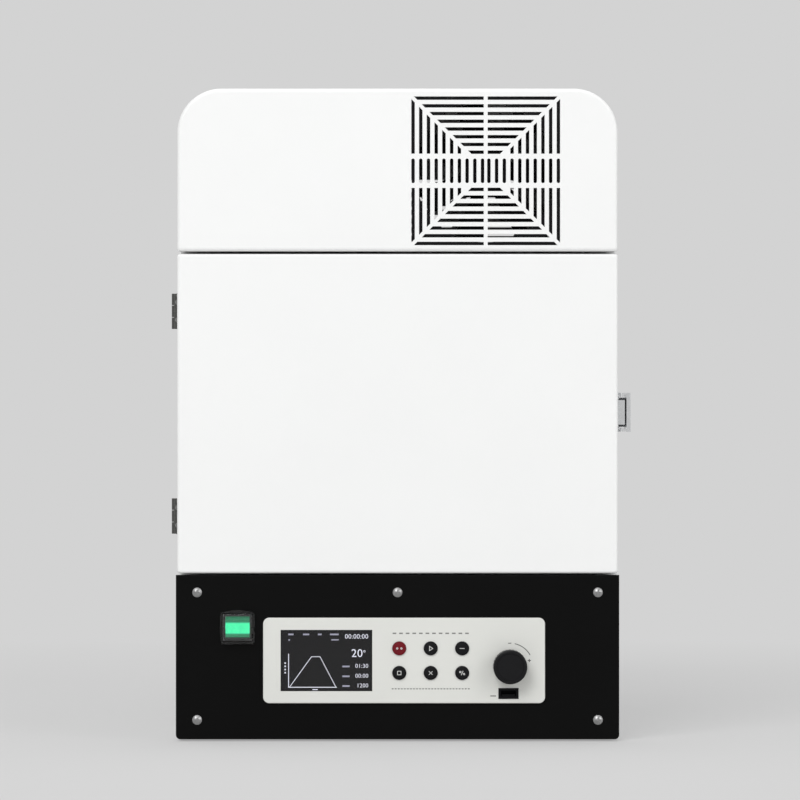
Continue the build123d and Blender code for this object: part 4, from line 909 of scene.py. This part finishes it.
class FURNACE_OT_display(bpy.types.Operator):
    """Lit screen behind the display glass: a graph, figures and plain labels"""

    bl_idname = "furnace.display"
    bl_label = "Display"

    def execute(self, context):
        tones = context.scene.furnace_colours
        sizes = context.scene.furnace_sizes
        dress(clear("display_glass", (0.95, 0.96, 1.0), 0.02, 1.45, 0.12), "display_glass")
        low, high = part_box("display_glass")
        margin = 0.0003
        field_in = 0.00015
        mark_in = 0.0003
        field_y = high.y - field_in
        mark_y = high.y - mark_in
        width = high.x - low.x - 2 * margin
        tall = high.z - low.z - 2 * margin
        field = bar((low.x + high.x) / 2, (low.z + high.z) / 2, width, tall, field_y)
        screen = coated("screen_dark", tones.screen, 0.4, patch=40.0, depth=0.3, grain=900.0,
                        height=0.00001, sockets={"Specular IOR Level": 0.05})
        keep(field, "display_field", screen, "case")

        stroke = sizes.screen_stroke
        axis_weight = 1.25
        origin_x = low.x + 0.0063
        origin_z = low.z + 0.0030
        graph_w = 0.0392
        graph_h = 0.0272
        curve_foot = 0.0003
        plateau = 0.0248
        rise_from, hold_from, hold_to, fall_to = 0.0009, 0.0186, 0.0255, 0.0383
        curve_lift = 0.00002
        dots, dot, dot_pitch = 4, 0.0012, 0.0026
        dot_left, dot_up = 0.0028, 0.0118
        lines = [
            ribbon([(origin_x, origin_z + graph_h), (origin_x, origin_z),
                    (origin_x + graph_w, origin_z)], stroke * axis_weight, mark_y),
            ribbon([(origin_x + rise_from, origin_z + curve_foot),
                    (origin_x + hold_from, origin_z + plateau),
                    (origin_x + hold_to, origin_z + plateau),
                    (origin_x + fall_to, origin_z + curve_foot)], stroke, mark_y - curve_lift),
        ]
        for row in range(dots):
            height = origin_z + dot_up + row * dot_pitch
            lines.append(bar(origin_x - dot_left, height, dot, dot, mark_y))
        lines.append(bar(origin_x + 0.0215, origin_z - 0.0019, 0.0042, 0.0007, mark_y))
        glow = glowing("lit_figures", tones.figures, 1.0)
        keep(joined(lines), "display_graph", glow, "case")

        right = high.x - 0.0030
        top = high.z - 0.0031
        digits = [
            figures("00:00:00", sizes.status_digits, right, top - sizes.status_digits, mark_y, "RIGHT"),
            figures("20", sizes.big_digits, right - 0.0045, low.z + 0.0276, mark_y, "RIGHT"),
            *(figures(words, sizes.row_digits, right, low.z + rise, mark_y, "RIGHT")
              for words, rise in (("01:30", 0.0188), ("00:00", 0.0108), ("1200", 0.0029))),
            ribbon(ring_points(right - 0.0032, low.z + 0.0322, 0.0007, 12), 0.0004, mark_y, True),
        ]
        keep(joined(digits), "display_digits", glow, "case")

        labels = [
            bar(low.x + along, top - down, w, h, mark_y)
            for along, down, w, h in (
                (0.0082, 0.0004, 0.0042, 0.0013), (0.0205, 0.0004, 0.0050, 0.0013),
                (0.0316, 0.0004, 0.0030, 0.0013), (0.0434, 0.0004, 0.0070, 0.0013),
                (0.0068, 0.0049, 0.0013, 0.0011), (0.0440, 0.0048, 0.0060, 0.0010),
            )
        ]
        for rise in (0.0199, 0.0119, 0.0040):
            labels.append(bar(low.x + 0.0529, low.z + rise, 0.0058, 0.0013, mark_y))
        faint = glowing("faint_labels", tones.faint_figures, 1.0)
        keep(joined(labels), "display_labels", faint, "case")
        return {"FINISHED"}


def key_symbols(size):
    """Strokes of each key's symbol, about the key's middle: points and whether they close."""
    half = size / 2
    slash = ([(-half * 0.45, -half), (half * 0.45, half)], False)
    dot = size * 0.17
    return {
        "button_start": [
            (ring_points(-half * 0.95, 0, dot, 10), True),
            (ring_points(half * 0.95, 0, dot, 10), True),
            ([(-half * 0.28, -half * 0.6), (half * 0.28, half * 0.6)], False),
        ],
        "button_program": [
            ([(-half * 0.55, -half), (-half * 0.55, half), (half * 0.9, 0)], True),
        ],
        "button_preset": [
            ([(-half * 0.85, half * 0.62), (half * 0.85, half * 0.62)], False),
            ([(-half * 1.1, 0), (half * 1.1, 0)], False),
            ([(-half * 0.85, -half * 0.62), (half * 0.85, -half * 0.62)], False),
        ],
        "button_stop": [
            ([(-half * 0.8, -half * 0.8), (-half * 0.8, half * 0.8), (half * 0.8, half * 0.8),
              (half * 0.8, -half * 0.8)], True),
        ],
        "button_clear": [
            ([(-half * 0.8, -half * 0.8), (half * 0.8, half * 0.8)], False),
            ([(-half * 0.8, half * 0.8), (half * 0.8, -half * 0.8)], False),
        ],
        "button_step": [
            slash,
            (ring_points(-half * 0.85, half * 0.45, dot, 10), True),
            (ring_points(half * 0.85, -half * 0.45, dot, 10), True),
        ],
    }


class FURNACE_OT_keys(bpy.types.Operator):
    """White symbols printed on the keys"""

    bl_idname = "furnace.keys"
    bl_label = "Key symbols"

    def execute(self, context):
        tones = context.scene.furnace_colours
        sizes = context.scene.furnace_sizes
        ink = printed("key_print", tones.key_ink)
        cap_sink = 0.0001
        ink_depth = 0.00016
        for name, strokes in key_symbols(sizes.key_symbol).items():
            low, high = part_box(name)
            middle = (low + high) / 2
            cap_y = low.y + cap_sink
            pieces = [
                ribbon([(middle.x + x, middle.z + z) for x, z in points], sizes.key_stroke, cap_y,
                       closed)
                for points, closed in strokes
            ]
            symbol = joined(pieces)
            thicken(symbol, ink_depth)
            keep(symbol, f"symbol_{name}", ink, name)
        return {"FINISHED"}


class FURNACE_OT_print(bpy.types.Operator):
    """Marks printed on the bezel: knob arc, signs, socket tag and two dashed rules"""

    bl_idname = "furnace.print"
    bl_label = "Bezel print"

    def execute(self, context):
        tones = context.scene.furnace_colours
        sizes = context.scene.furnace_sizes
        face_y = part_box("control_bezel")[0].y - sizes.print_lift
        knob_low, knob_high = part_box("knob")
        knob_x = (knob_low.x + knob_high.x) / 2
        knob_z = (knob_low.z + knob_high.z) / 2
        half = sizes.sign_size / 2
        arc_points, arc_from, arc_sweep = 24, radians(12), radians(49)
        minus_left, plus_right, plus_up, crossing_lift = 0.0002, 0.0157, 0.0046, 0.00001
        arc = ring_points(knob_x, knob_z, sizes.arc_radius, arc_points, arc_from, arc_sweep)
        minus_x = knob_x - minus_left
        minus_z = knob_z + sizes.arc_radius
        plus_x = knob_x + plus_right
        plus_z = knob_z + plus_up
        marks = [
            ribbon(arc, sizes.arc_width, face_y),
            ribbon([(minus_x - half, minus_z), (minus_x + half, minus_z)], sizes.arc_width, face_y),
            ribbon([(plus_x - half, plus_z), (plus_x + half, plus_z)], sizes.arc_width, face_y),
            ribbon([(plus_x, plus_z - half), (plus_x, plus_z + half)], sizes.arc_width,
                   face_y - crossing_lift),
        ]
        keep(joined(marks), "knob_marks", printed("dark_print", tones.ink), "case")

        start_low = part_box("button_start")[0]
        preset_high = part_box("button_preset")[1]
        socket_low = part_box("usb_port")[0]
        tag_left, tag_up, tag_w, tag_h = 0.0042, 0.0024, 0.0046, 0.0009
        upper_rise, lower_drop = 0.0188, 0.0063
        rules = [bar(socket_low.x - tag_left, socket_low.z + tag_up, tag_w, tag_h, face_y)]
        left = start_low.x
        span = preset_high.x - start_low.x
        for z, count, share, thick in (
            (start_low.z + upper_rise, 12, 0.55, 0.0011),
            (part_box("button_stop")[0].z - lower_drop, 26, 0.6, 0.0009),
        ):
            step = span / count
            for index in range(count):
                rules.append(bar(left + (index + 0.5) * step, z, step * share, thick, face_y))
        keep(joined(rules), "bezel_rules", printed("grey_print", tones.grey_ink), "case")
        return {"FINISHED"}


class FURNACE_OT_stage(bpy.types.Operator):
    """Pale floor, soft lamps and the camera"""

    bl_idname = "furnace.stage"
    bl_label = "Studio"

    def execute(self, context):
        studio = context.scene.furnace_studio
        grey = opaque(studio.backdrop)
        front_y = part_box("door_shell")[0].y

        deselect()
        bpy.ops.mesh.primitive_circle_add(vertices=96, radius=studio.floor_radius, fill_type="NGON")
        floor = bpy.context.object
        floor.name = "floor"
        made, tree, shader, place = new_material(
            "floor_paper", {"Base Color": grey, "Roughness": 0.9, "Specular IOR Level": 0.0}
        )
        output = tree.nodes["Material Output"]
        even = node(tree, "ShaderNodeEmission", {"Color": grey, "Strength": 1.0})
        seen = background_rays(tree)
        reach = node(tree, "ShaderNodeVectorMath", operation="LENGTH")
        fade = node(
            tree, "ShaderNodeMapRange",
            {"From Min": 0.35, "From Max": 1.3, "To Min": 0.45, "To Max": 1.0},
        )
        share = node(tree, "ShaderNodeMath", operation="MULTIPLY")
        mix = node(tree, "ShaderNodeMixShader")
        tree.links.new(place, reach.inputs[0])
        tree.links.new(reach.outputs["Value"], fade.inputs["Value"])
        tree.links.new(fade.outputs["Result"], share.inputs[0])
        tree.links.new(seen, share.inputs[1])
        tree.links.new(share.outputs["Value"], mix.inputs["Fac"])
        tree.links.new(shader.outputs["BSDF"], mix.inputs[1])
        tree.links.new(even.outputs["Emission"], mix.inputs[2])
        tree.links.new(mix.outputs["Shader"], output.inputs["Surface"])
        floor.data.materials.append(made)

        world = bpy.data.worlds.new("studio_air")
        world.use_nodes = True
        context.scene.world = world
        tree = world.node_tree
        output = tree.nodes["World Output"]
        soft = tree.nodes["Background"]
        soft.inputs["Color"].default_value = (1.0, 1.0, 1.0, 1.0)
        soft.inputs["Strength"].default_value = studio.ambient
        shown = node(tree, "ShaderNodeBackground", {"Color": grey, "Strength": 1.0})
        mix = node(tree, "ShaderNodeMixShader")
        tree.links.new(background_rays(tree), mix.inputs["Fac"])
        tree.links.new(soft.outputs["Background"], mix.inputs[1])
        tree.links.new(shown.outputs["Background"], mix.inputs[2])
        tree.links.new(mix.outputs["Shader"], output.inputs["Surface"])

        centre = Vector((0.0, 0.0, 0.27))  # what the lamps point at
        for name, spot, size, power in (
            ("key_lamp", (-1.3, -3.2, 2.6), 2.2, studio.key_power),
            ("fill_lamp", (2.6, -2.4, 1.5), 1.8, studio.fill_power),
            ("top_lamp", (0.0, 0.3, 3.0), 2.4, studio.top_power),
        ):
            bpy.ops.object.light_add(type="AREA", location=spot)
            lamp = bpy.context.object
            lamp.name = name
            lamp.data.size = size
            lamp.data.energy = power
            lamp.rotation_euler = (centre - Vector(spot)).to_track_quat("-Z", "Y").to_euler()

        bpy.ops.object.camera_add(
            location=(studio.camera_shift, front_y - studio.camera_distance, studio.camera_height),
            rotation=(pi / 2, 0.0, 0.0),
        )
        camera = bpy.context.object
        camera.data.lens = studio.lens
        camera.data.sensor_width = 36.0
        context.scene.camera = camera
        context.scene.view_settings.view_transform = "Standard"
        return {"FINISHED"}


def background_rays(tree):
    """1 for rays that should see the plain background: camera, mirror and glass rays."""
    rays = node(tree, "ShaderNodeLightPath")
    first = node(tree, "ShaderNodeMath", operation="MAXIMUM")
    both = node(tree, "ShaderNodeMath", operation="MAXIMUM")
    tree.links.new(rays.outputs["Is Camera Ray"], first.inputs[0])
    tree.links.new(rays.outputs["Is Glossy Ray"], first.inputs[1])
    tree.links.new(first.outputs["Value"], both.inputs[0])
    tree.links.new(rays.outputs["Is Transmission Ray"], both.inputs[1])
    return both.outputs["Value"]


STEPS = (
    FURNACE_OT_stage,
    FURNACE_OT_casing,
    FURNACE_OT_panel,
    FURNACE_OT_hinges,
    FURNACE_OT_latch,
    FURNACE_OT_oven,
    FURNACE_OT_gasket,
    FURNACE_OT_power,
    FURNACE_OT_mouldings,
    FURNACE_OT_switch,
    FURNACE_OT_display,
    FURNACE_OT_keys,
    FURNACE_OT_print,
)


class FURNACE_PT_sidebar(bpy.types.Panel):
    """Sidebar panel with each group of pieces"""

    bl_label = "Sintering furnace"
    bl_space_type = "VIEW_3D"
    bl_region_type = "UI"
    bl_category = "Furnace"

    def draw(self, context):
        for step in STEPS:
            self.layout.operator(step.bl_idname)
        for group in (
            context.scene.furnace_colours, context.scene.furnace_sizes, context.scene.furnace_studio
        ):
            box = self.layout.box()
            for name in group.__annotations__:
                box.prop(group, name)


CLASSES = (FurnaceColours, FurnaceSizes, FurnaceStudio) + STEPS + (FURNACE_PT_sidebar,)


def register():
    """Register the classes and the scene's settings."""
    for item in CLASSES:
        bpy.utils.register_class(item)
    bpy.types.Scene.furnace_colours = PointerProperty(type=FurnaceColours)
    bpy.types.Scene.furnace_sizes = PointerProperty(type=FurnaceSizes)
    bpy.types.Scene.furnace_studio = PointerProperty(type=FurnaceStudio)


def unregister():
    """Take the settings and the classes away again."""
    del bpy.types.Scene.furnace_studio
    del bpy.types.Scene.furnace_sizes
    del bpy.types.Scene.furnace_colours
    for item in reversed(CLASSES):
        bpy.utils.unregister_class(item)


def main():
    """Make the looks step by step."""
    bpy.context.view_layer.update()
    register()
    for step in STEPS:
        group, name = step.bl_idname.split(".")
        getattr(getattr(bpy.ops, group), name)()


if __name__ == "__main__":
    main()
